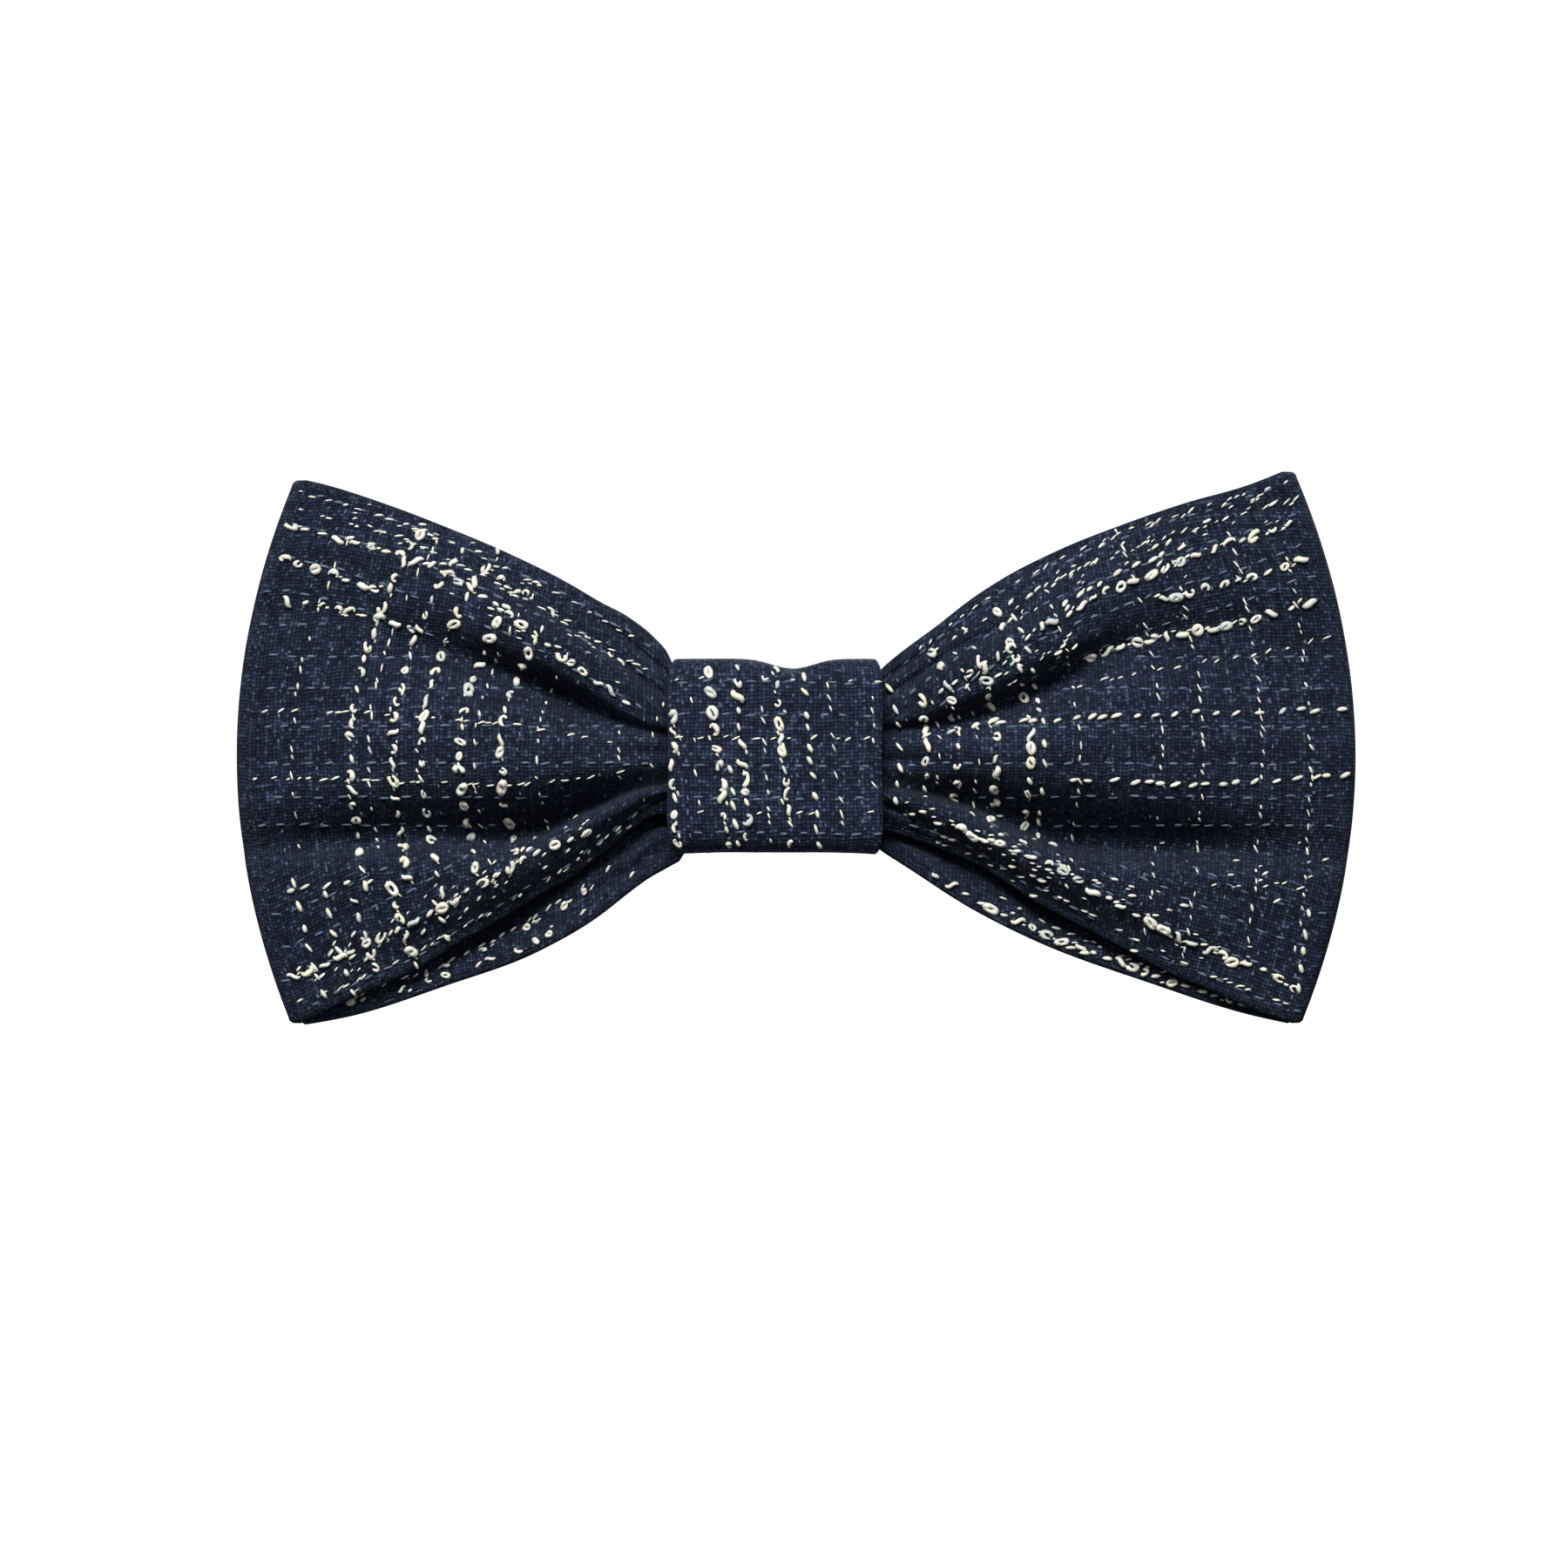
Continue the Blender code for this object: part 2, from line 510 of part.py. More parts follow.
def build_jaw(side, steel):
    name = "left" if side == LEFT else "right"
    half = 0.5 * JAW_WIDTH
    outer = [LEVER_TIP, (JAW_FLAT[0], JAW_BACK_Y), (JAW_FLAT[1], JAW_BACK_Y), JAW_NOSE]
    lever_drop = JAW_SHEET * math.hypot(JAW_FLAT[0] - LEVER_TIP[0], LEVER_TIP[1] - JAW_BACK_Y) / (
        JAW_FLAT[0] - LEVER_TIP[0]
    )
    inner = [
        (JAW_NOSE[0], JAW_NOSE[1] - JAW_SHEET),
        (JAW_FLAT[1], JAW_BACK_Y - JAW_SHEET),
        (JAW_FLAT[0], JAW_BACK_Y - JAW_SHEET),
        (LEVER_TIP[0], LEVER_TIP[1] - lever_drop),
    ]
    back = prism("back", [(side * x, y) for x, y in outer + inner], -half, half, 2, steel)

    under = JAW_BACK_Y - 0.5 * JAW_SHEET
    flange = [(JAW_FLAT[0] + 0.2, under)]
    flange += arc((PIN_X, PIN_Y), 1.75, 190, 300, 8)
    flange += [(JAW_NOSE[0] - 1.4, JAW_NOSE[1] - 1.1), (JAW_NOSE[0] - 1.4, JAW_NOSE[1] - 0.15)]
    flange += [(JAW_FLAT[1], under)]
    for face in (-1, 1):
        low, high = sorted((face * half, face * (half - JAW_SHEET)))
        low, high = (low + 0.02, high) if face < 0 else (low, high - 0.02)
        combine(back, prism("flange", [(side * x, y) for x, y in flange], low, high, 2, steel), "UNION")

    teeth = [(JAW_NOSE[1] - 0.2, -half + 0.02)]
    pitch = (JAW_WIDTH - 0.04) / TOOTH_COUNT
    for tooth in range(TOOTH_COUNT):
        start = -half + 0.02 + tooth * pitch
        teeth.append((TOOTH_TIP_Y + 0.7, start))
        teeth.append((TOOTH_TIP_Y, start + 0.35 * pitch))
        teeth.append((TOOTH_TIP_Y, start + 0.65 * pitch))
    teeth.append((TOOTH_TIP_Y + 0.7, half - 0.02))
    teeth.append((JAW_NOSE[1] - 0.2, half - 0.02))
    lip = sorted((side * (JAW_NOSE[0] - 0.05), side * (JAW_NOSE[0] - JAW_SHEET)))
    combine(back, prism("teeth", teeth, lip[0], lip[1], 0, steel), "UNION")

    bore = arc((side * PIN_X, PIN_Y), JAW_BORE, 0, 345, 24)
    combine(back, prism("bore", bore, -8, 8, 2, steel), "DIFFERENCE")

    pivot = mathutils.Vector((side * PIN_X * MM, PIN_Y * MM, 0.0))
    back.data.transform(mathutils.Matrix.Translation(-pivot))
    back.location = pivot
    back.name = f"jaw_{name}"


def build_spring(side, steel):
    """A torsion spring round the pin, its two legs pushing the lever away from the base plate."""
    radius = SPRING_COIL_RADIUS
    half = 0.5 * SPRING_PITCH * SPRING_TURNS
    angles = np.linspace(-0.5 * math.pi, 2 * math.pi * SPRING_TURNS - 1.5 * math.pi, 14 * SPRING_TURNS)
    coil = np.column_stack(
        [
            PIN_X + radius * np.cos(angles),
            PIN_Y + radius * np.sin(angles),
            np.linspace(-half, half, len(angles)),
        ]
    )
    lower = np.array([[*SPRING_LOWER_LEG_END, -half]])
    upper = np.array([[x, y, half] for x, y in SPRING_UPPER_LEG])
    path = np.concatenate([polyline(np.vstack([lower, coil[:1]]), 0.9)[:-1], coil])
    path = np.concatenate([path, polyline(np.vstack([coil[-1:], upper]), 0.9)[1:]])
    path[:, 0] *= side
    thread(f"torsion_spring_{'left' if side == LEFT else 'right'}", path, SPRING_WIRE_RADIUS, steel)


def main():
    for old in list(bpy.data.objects):
        bpy.data.objects.remove(old, do_unlink=True)
    tweed = material("navy slub tweed", (0.018, 0.026, 0.046), 0.9, sheen=0.3)
    lining = material("undyed interlining", (0.62, 0.60, 0.54), 0.95)
    cotton = material("navy cotton thread", (0.02, 0.026, 0.05), 0.7)
    steel = material("nickel-plated spring steel", (0.62, 0.61, 0.58), 0.3, metallic=1.0)
    pin_metal = material("bright pin wire", (0.7, 0.7, 0.7), 0.22, metallic=1.0)
    vinyl = material("clear grey vinyl", (0.32, 0.33, 0.35), 0.4)
    build_bow(tweed, lining, cotton)
    build_knot(tweed, lining, cotton)
    build_base(steel, pin_metal, vinyl)
    for side in (LEFT, RIGHT):
        build_jaw(side, steel)
        build_spring(side, steel)


main()
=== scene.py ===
"""Looks of the clip-on bow tie: navy slub tweed, a wrapped knot and a sprung collar clip."""

import json
import math

import bmesh
import bpy
import numpy as np
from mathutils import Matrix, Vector

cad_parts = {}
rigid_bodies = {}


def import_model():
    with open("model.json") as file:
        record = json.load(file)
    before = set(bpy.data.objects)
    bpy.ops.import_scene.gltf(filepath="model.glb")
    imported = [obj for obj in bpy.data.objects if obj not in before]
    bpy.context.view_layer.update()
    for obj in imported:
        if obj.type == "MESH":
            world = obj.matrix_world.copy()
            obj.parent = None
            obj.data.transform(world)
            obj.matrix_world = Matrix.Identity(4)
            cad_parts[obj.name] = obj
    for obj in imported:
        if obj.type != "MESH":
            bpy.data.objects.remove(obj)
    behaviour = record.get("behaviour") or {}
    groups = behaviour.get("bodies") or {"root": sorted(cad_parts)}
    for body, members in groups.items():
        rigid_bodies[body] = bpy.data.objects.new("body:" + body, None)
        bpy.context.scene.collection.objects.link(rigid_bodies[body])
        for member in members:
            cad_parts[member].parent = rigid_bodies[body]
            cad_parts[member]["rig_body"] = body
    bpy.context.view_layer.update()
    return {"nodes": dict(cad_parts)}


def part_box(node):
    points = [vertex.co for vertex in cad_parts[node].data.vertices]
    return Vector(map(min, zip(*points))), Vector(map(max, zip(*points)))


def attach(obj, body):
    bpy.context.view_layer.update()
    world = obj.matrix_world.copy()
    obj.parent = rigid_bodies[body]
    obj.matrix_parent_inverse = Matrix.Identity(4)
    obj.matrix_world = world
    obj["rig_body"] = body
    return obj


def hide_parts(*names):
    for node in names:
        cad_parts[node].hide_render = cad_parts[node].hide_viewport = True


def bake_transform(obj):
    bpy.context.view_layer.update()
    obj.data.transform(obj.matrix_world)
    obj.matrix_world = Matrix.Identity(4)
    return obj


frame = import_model()

MM = 0.001
LEFT, RIGHT = -1, 1
rng = np.random.default_rng(41)

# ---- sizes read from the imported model
bow_low, bow_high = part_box("bow_outer_ply")
knot_low, knot_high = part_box("knot_wrap")
REACH = {LEFT: -bow_low.x / MM, RIGHT: bow_high.x / MM}
KNOT_HALF = knot_high.x / MM
KNOT_TOP, KNOT_BOTTOM = knot_high.z / MM, knot_low.z / MM
KNOT_FRONT = knot_low.y / MM

# The bow's outline and depths, in millimetres from the middle of the knot. Edges are (distance, height) and
# depths (distance, depth). END_CURVE bows the wing's end, in millimetres per square millimetre of height.
END_CURVE = 0.0073
TOP_EDGE = {
    LEFT: [
        (0, 6.5), (9, 7.5), (10.6, 9.0), (11.4, 10.9), (12.8, 12.6), (15.5, 14.8), (18.8, 16.6),
        (22, 18.5), (28.6, 21.8), (35.2, 24.6), (41.7, 27.1), (48.3, 29.2), (52, 30.0),
    ],
    RIGHT: [
        (0, 6.5), (9, 7.5), (10.6, 8.6), (11.8, 9.8), (13, 10.8), (17.3, 14), (20.6, 16.6), (23.9, 18.8),
        (30.5, 22.2), (37, 24.8), (43.6, 27.1), (50.2, 29.0), (56.4, 31.5),
    ],
}
FRONT_LOWER_EDGE = {
    LEFT: [
        (0, -6.4), (9, -6.2), (11.3, -6.2), (13.4, -6.6), (15, -7.6), (17.2, -9.4), (20, -11.7),
        (22.5, -13.4), (26, -15.4), (30.7, -18.3), (34, -20.2), (38.2, -22.8), (42.2, -24.6), (47, -26.9),
        (52, -29.2),
    ],
    RIGHT: [
        (0, -7.2), (9, -7.4), (11.3, -7.9), (14.7, -8.9), (18.7, -10.4), (22.2, -12), (27.2, -15.3),
        (32.2, -18), (36.6, -20.3), (41.3, -22.9), (45.9, -24.9), (51, -27.2), (56.4, -29.1),
    ],
}
BACK_LOWER_EDGE = {
    LEFT: [
        (0, -7.2), (7.5, -7.8), (9, -9.2), (9.9, -10.9), (11.5, -12), (13.6, -13.2), (15.5, -14.6),
        (18.8, -17.2), (25.3, -21), (35.2, -24.7), (45, -27.9), (52, -29.2),
    ],
    RIGHT: [
        (0, -7.2), (8, -7.6), (9.6, -8.4), (11.3, -10.2), (12.7, -11.1), (14.1, -12), (20.6, -16.2),
        (27.2, -19.6), (40.3, -24.5), (50.2, -27.7), (56.4, -29.1),
    ],
}
FRONT_EDGE_DEPTH = [(0, 8.4), (9, 7.7), (12, 7.0), (18, 7.6), (28, 8.0), (40, 7.6), (50, 7.4), (60, 7.6)]
FRONT_BELLY = [
    (0, 2.0), (9, 2.3), (11.2, 2.9), (12.8, 4.2), (18, 5.2), (28, 6.3), (40, 4.6), (50, 2.2), (60, 0.5),
]
BACK_DEPTH = {
    LEFT: [(0, 2.4), (7, 2.4), (10, 1.6), (28, 1.6), (40, 2.4), (50, 3.3), (60, 3.8)],
    RIGHT: [(0, 4.1), (6.5, 4.1), (11, 2.3), (14, 1.6), (28, 1.6), (40, 2.4), (50, 3.3), (60, 3.8)],
}
BACK_CURL = [(0, 0), (9, 0.4), (13, 2.2), (20, 2.7), (40, 2.2), (50, 0.9), (60, 0)]
BACK_BULGE = {
    LEFT: [(0, 0), (9.5, 0), (11, 1.6), (12.5, 2.6), (16, 2.9), (20, 2.8), (28, 1.3), (38, 0)],
    RIGHT: [(0, 0), (9.5, 0), (11, 0.8), (12.5, 1.4), (16, 2.2), (20, 2.5), (28, 1.3), (38, 0)],
}
BULGE_START = {
    LEFT: [(9, 1.2), (14, 1.4), (20, 1.4), (30, 0.4), (60, 0.3)],
    RIGHT: [(9, 0.0), (13, 0.1), (16, 1.0), (20, 1.4), (30, 0.4), (60, 0.3)],
}
BULGE_RISE = 1.8
BELLY_POWER = 2.4
FOLD_RADIUS = 1.7
END_OVERLAP = 5.0
PLY_STACK = 1.4
EDGE_ROLL = 0.5 * PLY_STACK
STRIP_WIDTH = 59.0
WAIST = 12.0
WING_LENGTH = 60.0

# Gathers as (line, depth along it, half-width along it, lean). A positive lean widens the side above it.
# The first two of each wing are the deep folds that leave the knot. A negative depth is a ridge.
GATHERS = {
    LEFT: [
        ([(0, 2.2), (9, 2.2), (11.4, 2.3), (15, 3.2), (17.8, 4.3), (20.6, 5.6), (26.2, 8.2),
          (30.9, 9.8), (41, 12.6),
          (49, 15)],
         [(0, 0.8), (10, 0.8), (14, 1.3), (18, 3.4), (24, 5.6), (29, 4.4), (34, 2.2), (41, 0.6), (46, 0)],
         [(0, 0.8), (11, 0.8), (15, 1.0), (18, 1.6), (22, 2.2), (27, 2.7), (38, 3.4), (60, 4)], -0.4),
        ([(0, -2.4), (9, -2.5), (11.4, -2.8), (15, -3.5), (18, -4.7), (21.3, -6.0), (24.4, -7.6),
          (27.5, -8.3), (40, -8.8), (50, -9.6), (60, -10)],
         [(0, 0.8), (10, 0.8), (14, 1.7), (20, 5.0), (28, 6.6), (36, 5.6), (46, 4.2), (53, 2.2), (57, 0.9)],
         [(0, 1.0), (11, 1.0), (16, 1.3), (22, 2.0), (27, 2.6), (38, 2.7), (50, 2.2), (60, 2.0)], 0.42),
        ([(28, 8.5), (35, 10.5), (42, 12.5), (52, 15)],
         [(27, 0), (34, 1.9), (42, 2.0), (52, 0.6), (56, 0)], [(28, 3), (36, 4), (52, 4.6)], 0),
        ([(11, 4.4), (18, 9.2), (26, 14.2), (36, 18.6), (50, 24)],
         [(9, 0), (14, -0.9), (22, -1.4), (32, -0.9), (46, 0)], [(9, 1.6), (30, 2.4)], 0),
        ([(11, -4.2), (18, -7.0), (24, -10.6), (32, -14.6), (46, -20)],
         [(9, 0), (14, -0.6), (24, -1.2), (36, -0.8), (48, 0)], [(9, 1.2), (30, 2.6)], 0),
        ([(9, 5.0), (12, 6.6), (18, 11.2), (26, 16.6), (34, 20.5)],
         [(9, 0.3), (12, 0.9), (20, 0.9), (34, 0)], [(9, 0.5), (34, 1.0)], 0),
        ([(9, 6.4), (12, 9.2), (18, 13.8), (26, 18.6)],
         [(9, 0.2), (12, 0.7), (20, 0.5), (26, 0)], [(9, 0.4), (26, 0.7)], 0),
        ([(9, -3.8), (12, -4.6), (18, -7.7), (26, -11.6)],
         [(9, 0.4), (12, 0.8), (18, 0.7), (26, 0)], [(9, 0.4), (26, 0.7)], 0),
        ([(10, 0.3), (16, 0.4), (24, 0.9)],
         [(9, 0), (12, 0.6), (17, 0.4), (24, 0)], [(9, 0.6), (26, 1.0)], 0),
    ],
    RIGHT: [
        ([(0, 2.4), (9, 2.5), (11.4, 2.7), (15, 3.2), (18.8, 4.0), (25.3, 6.3), (30, 8.5),
          (34.7, 10.6), (41, 12),
          (60, 12)],
         [(0, 0.8), (10, 0.9), (14, 1.5), (18, 3.2), (24, 5.2), (30, 5.2), (35, 3.4), (41, 1.0), (47, 0)],
         [(0, 0.8), (11, 0.8), (15, 1.0), (20, 1.8), (28, 2.4), (34, 2.9), (42, 3.4), (60, 4)], -0.4),
        ([(0, -2.4), (9, -2.8), (11.4, -3.1), (16, -3.9), (20.9, -5.2), (25.6, -7.3), (30, -8.8),
          (36.6, -9.6), (50, -10.3), (60, -10.6)],
         [(0, 0.8), (10, 0.8), (14, 1.5), (20, 4.4), (26, 6.4), (36, 6.4), (46, 5.0), (54, 3.0), (60.4, 0.9)],
         [(0, 1.0), (11, 1.0), (18, 1.4), (25, 2.6), (32, 3.0), (46, 2.7), (60, 2.4)], 0.42),
        ([(32, 10.5), (40, 12), (60, 11)],
         [(31, 0), (38, 2.1), (46, 2.3), (56, 1.4), (60, 0.7)], [(32, 3.2), (40, 4.2), (60, 5)], 0),
        ([(11, 4.6), (18, 8.4), (26, 12.8), (34, 17.6), (46, 22)],
         [(9, 0), (14, -0.9), (22, -1.4), (32, -0.9), (44, 0)], [(9, 1.6), (30, 2.4)], 0),
        ([(11, -4.8), (18, -7.0), (26, -10.6), (36, -15), (48, -20)],
         [(9, 0), (14, -0.7), (24, -1.3), (38, -0.8), (50, 0)], [(9, 1.3), (30, 2.6)], 0),
        ([(9, 5.0), (12, 6.4), (18, 10.4), (26, 14.6), (34, 19)],
         [(9, 0.3), (12, 1.0), (20, 1.1), (28, 0.6), (34, 0)], [(9, 0.5), (34, 1.0)], 0),
        ([(9, 6.6), (12, 8.4), (18, 12.6), (24, 16.8)],
         [(9, 0.2), (12, 0.8), (18, 0.7), (24, 0)], [(9, 0.4), (24, 0.7)], 0),
        ([(9, -4.6), (12, -5.4), (18, -8.2), (26, -12.4), (34, -16.4)],
         [(9, 0.4), (12, 0.9), (18, 0.8), (34, 0)], [(9, 0.5), (34, 0.9)], 0),
        ([(10, -0.4), (16, -0.6), (24, -1.0)],
         [(9, 0), (12, 0.6), (17, 0.4), (24, 0)], [(9, 0.6), (26, 1.0)], 0),
    ],
}
BACK_GATHERS = [
    ([(9, -5), (13.5, -9.5), (20, -13.5), (30, -17.5)],
     [(9, 0), (12, 0.8), (20, 0.7), (30, 0)], [(9, 0.8), (30, 1.2)], 0),
]


# ---- the bow's surface
def smooth_curve(points, x):
    """Height of the smooth curve through points at x, held level beyond its ends."""
    xs, ys = (np.array(column, float) for column in zip(*points))
    slopes = np.gradient(ys, xs)
    x = np.clip(x, xs[0], xs[-1])
    i = np.clip(np.searchsorted(xs, x) - 1, 0, len(xs) - 2)
    step = xs[i + 1] - xs[i]
    u = (x - xs[i]) / step
    rise = ys[i + 1] - ys[i]
    a = slopes[i] * step - rise
    b = rise - slopes[i + 1] * step
    return ys[i] + u * rise + u * (1 - u) * (a * (1 - u) + b * u)


def end_curve(side, distance):
    """How much a row of cloth bows towards the knot, per square millimetre of height."""
    return END_CURVE * np.clip((distance - 10) / (REACH[side] - 10), 0, 1)


def edge_height(side, edge, distance):
    """Height at which the row of cloth at this distance meets the given edge."""
    height = np.zeros_like(np.asarray(distance, float))
    for _ in range(12):
        reached = distance - end_curve(side, distance) * height**2
        height = 0.5 * (height + smooth_curve(edge[side], reached))
    return height


def ripple(side, x, z):
    """Slow, uneven swell of a stiff cloth, a few tenths of a millimetre high."""
    phase = 1.3 if side == LEFT else 0.2
    fade = np.clip((np.asarray(x, float) - 10) / 8, 0, 1)
    swell = 0.16 * np.sin(0.36 * x + 0.21 * z + phase) * np.cos(0.27 * z - 0.13 * x + 2 * phase)
    swell += 0.10 * np.sin(0.71 * z - 0.19 * x + 3 * phase) * np.sin(0.23 * x + phase)
    swell += 0.05 * np.sin(1.3 * z + 0.5 * x + phase) * np.cos(0.9 * x - 0.4 * z)
    return fade * swell


def gathered(depth, gathers, x, z):
    """The depth less each gather, a rounded groove or ridge along its line."""
    for line, valley, width, lean in gathers:
        off = z - smooth_curve(line, x)
        off = off / (smooth_curve(width, x) * np.where(off > 0, 1 + lean, 1 - lean))
        depth = depth - smooth_curve(valley, x) * np.exp(-(off**2))
    return depth


def front_depth(side, x, z, distance):
    """Depth of the front panel: a belly with its edges rolled back, less the gathers."""
    top = edge_height(side, TOP_EDGE, distance)
    low = edge_height(side, FRONT_LOWER_EDGE, distance)
    across = np.clip(np.where(z > 0, z / top, z / low), 0, 1)
    belly = smooth_curve(FRONT_BELLY, distance) * (1 - across**BELLY_POWER)
    depth = smooth_curve(FRONT_EDGE_DEPTH, distance) + belly
    return gathered(depth, GATHERS[side], x, z) + ripple(side, x, z)


def back_depth(side, x, z, distance):
    """Depth of the back panel, whose lower edge curls to the front and bulges where it shows."""
    low = edge_height(side, BACK_LOWER_EDGE, distance)
    turned = np.clip((z / low - 0.4) / 0.6, 0, 1) ** 1.5
    start = edge_height(side, FRONT_LOWER_EDGE, distance) + smooth_curve(BULGE_START[side], distance)
    shown = np.clip((start - z) / BULGE_RISE, 0, 1)
    depth = smooth_curve(BACK_DEPTH[side], distance) + smooth_curve(BACK_CURL, distance) * turned
    depth = depth + smooth_curve(BACK_BULGE[side], distance) * shown**2 * (3 - 2 * shown)
    return depth + depth - gathered(depth, BACK_GATHERS, x, z)


def distance_at(side, x, z):
    """The cloth's distance along the strip where it passes a given place."""
    distance = np.asarray(x, float)
    for _ in range(8):
        distance = x + end_curve(side, distance) * z**2
    return distance


ACROSS = 176
ROLL = 5
BACK_LOWERED, END_RISE = 0.7, 8.0
FRONT_STEP, BACK_STEP = 0.45, 0.9
FOLD_STEPS = 12
FOLD_ARC = 1.9


def panel(side, distances, lower_edge, front):
    """Rows of one panel of the strip, as places and inward directions."""
    rows = []
    for distance in distances:
        top = edge_height(side, TOP_EDGE, distance)
        if not front:
            top = top - BACK_LOWERED * np.clip((REACH[side] - END_RISE - distance) / END_RISE, 0, 1)
        low = edge_height(side, lower_edge, distance)
        z = np.linspace(low + EDGE_ROLL, top - EDGE_ROLL, ACROSS)
        x = distance - end_curve(side, distance) * z**2
        depth = front_depth(side, x, z, distance) if front else back_depth(side, x, z, distance)
        rows.append(np.stack([side * x, -depth, z], 1))
    inward = np.tile([0.0, 1.0 if front else -1.0, 0.0], (len(rows), ACROSS, 1))
    return np.array(rows), inward


def strip():
    """The whole strip as one grid: its places, inward directions and length coordinate."""
    wings = []
    for side in (LEFT, RIGHT):
        end = REACH[side] - FOLD_RADIUS
        front_at = np.append(np.arange(0.0 if side == RIGHT else FRONT_STEP, end, FRONT_STEP), end)
        back_at = np.append(np.arange(-END_OVERLAP, end, BACK_STEP), end)
        front, front_in = panel(side, front_at, FRONT_LOWER_EDGE, True)
        back, back_in = panel(side, back_at, BACK_LOWER_EDGE, False)
        middle, half = 0.5 * (front[-1] + back[-1]), 0.5 * (front[-1, :, 1] - back[-1, :, 1])
        fold, fold_in, fold_u = [], [], []
        for k in range(1, FOLD_STEPS):
            angle = math.pi * k / FOLD_STEPS
            row = middle.copy()
            row[:, 0] += side * FOLD_RADIUS * math.sin(angle)
            row[:, 1] += half * math.cos(angle)
            fold.append(row)
            fold_in.append(np.tile([-side * math.sin(angle), math.cos(angle), 0.0], (ACROSS, 1)))
            fold_u.append(end + FOLD_ARC * angle)
        back_u = end + FOLD_ARC * math.pi + (end - back_at[::-1])
        wings.append((
            np.concatenate([front, fold, back[::-1]]),
            np.concatenate([front_in, fold_in, back_in[::-1]]),
            side * np.concatenate([front_at, fold_u, back_u]),
        ))
    return [np.concatenate([left[::-1], right]) for left, right in zip(*wings)]


def cut_width(along):
    """Width of the flat strip, which is waisted where the knot and the clip hold it."""
    return STRIP_WIDTH - WAIST * np.cos(math.pi * along / (2 * WING_LENGTH)) ** 2


def across_coordinate(places, inward, along):
    """Millimetres across the strip: true along the surface, with the rest of the cut hidden in the folds."""
    step = np.linalg.norm(np.diff(places, axis=1), axis=2)
    x, z = np.abs(places[:, :, 0]), places[:, :, 2]
    feet = np.full_like(z, 1e-3)
    for side in (LEFT, RIGHT):
        mine = ((places[:, :, 0] * side) >= 0) & (inward[:, :, 1] > 0.5)
        for line, _, width, _ in GATHERS[side][:2]:
            off = (z - smooth_curve(line, x)) / (0.35 * smooth_curve(width, x))
            feet += np.where(mine, np.exp(-(off**2)), 0)
    feet = 0.5 * (feet[:, 1:] + feet[:, :-1]) * step
    upper = z[:, 1:] > 0
    total = step.copy()
    for half in (upper, ~upper):
        hidden = np.maximum(0.5 * cut_width(along) - EDGE_ROLL - (step * half).sum(1), 0)
        total += hidden[:, None] * feet * half / (feet * half).sum(1, keepdims=True)
    start = -(total * ~upper).sum(1, keepdims=True)
    return start + np.concatenate([np.zeros_like(start), np.cumsum(total, 1)], 1)


def with_rolled_edges(places, inward, v, radius, axis):
    """Adds a half turn beyond both long edges of a sheet. The axis points from first column to last."""
    whole = [places, inward, v]
    for column, way in ((0, -1), (-1, 1)):
        edge, into = places[:, column], inward[:, column]
        turned = []
        for angle in math.pi * np.arange(1, ROLL + 1) / ROLL:
            place = edge + radius * (math.sin(angle) * way * axis + (1 - math.cos(angle)) * into)
            turned_in = into * math.cos(angle) - way * math.sin(angle) * axis
            turned.append((place, turned_in, v[:, column] + way * radius * angle))
        for k, column_parts in enumerate(zip(*turned)):
            rim = np.stack(column_parts, 1)
            whole[k] = np.concatenate([rim[:, ::-1], whole[k]] if way < 0 else [whole[k], rim], 1)
    return whole


def linked(name, data):
    """A new object of the data, in the scene."""
    made = bpy.data.objects.new(name, data)
    bpy.context.scene.collection.objects.link(made)
    return made


def placed(name, mesh, looks):
    """A smooth-shaded object of the mesh, in the scene, with its materials."""
    mesh.polygons.foreach_set("use_smooth", np.ones(len(mesh.polygons), bool))
    for look in looks:
        mesh.materials.append(look)
    return linked(name, mesh)


def sheet_mesh(name, outer, inner, u, v, look):
    """A closed sheet between two grids, with UVs in millimetres of cloth, on the bow's body."""
    rows, columns = outer.shape[:2]
    count = rows * columns
    points = np.concatenate([outer.reshape(-1, 3), inner.reshape(-1, 3)]) * MM
    index = np.arange(count).reshape(rows, columns)
    quads = np.stack([index[:-1, :-1], index[:-1, 1:], index[1:, 1:], index[1:, :-1]], -1).reshape(-1, 4)
    rim = np.concatenate([index[0, :-1], index[:-1, -1], index[-1, :0:-1], index[:0:-1, 0]])
    after = np.roll(rim, -1)
    border = np.stack([rim, rim + count, after + count, after], -1)
    faces = np.concatenate([quads, quads[:, ::-1] + count, border])
    mesh = bpy.data.meshes.new(name)
    mesh.vertices.add(len(points))
    mesh.vertices.foreach_set("co", points.astype(np.float32).ravel())
    mesh.loops.add(faces.size)
    mesh.loops.foreach_set("vertex_index", faces.astype(np.int32).ravel())
    mesh.polygons.add(len(faces))
    mesh.polygons.foreach_set("loop_start", np.arange(0, faces.size, 4, dtype=np.int32))
    mesh.update(calc_edges=True)
    mesh.validate()
    uv = mesh.uv_layers.new(name="cloth")
    flat = np.stack([np.broadcast_to(part, (rows, columns)) for part in (u, v)], -1).reshape(-1, 2)
    loops = np.zeros(len(mesh.loops), np.int32)
    mesh.loops.foreach_get("vertex_index", loops)
    uv.data.foreach_set("uv", np.concatenate([flat, flat])[loops].astype(np.float32).ravel())
    made = placed(name, mesh, [look])
    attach(made, "bow")
    return made


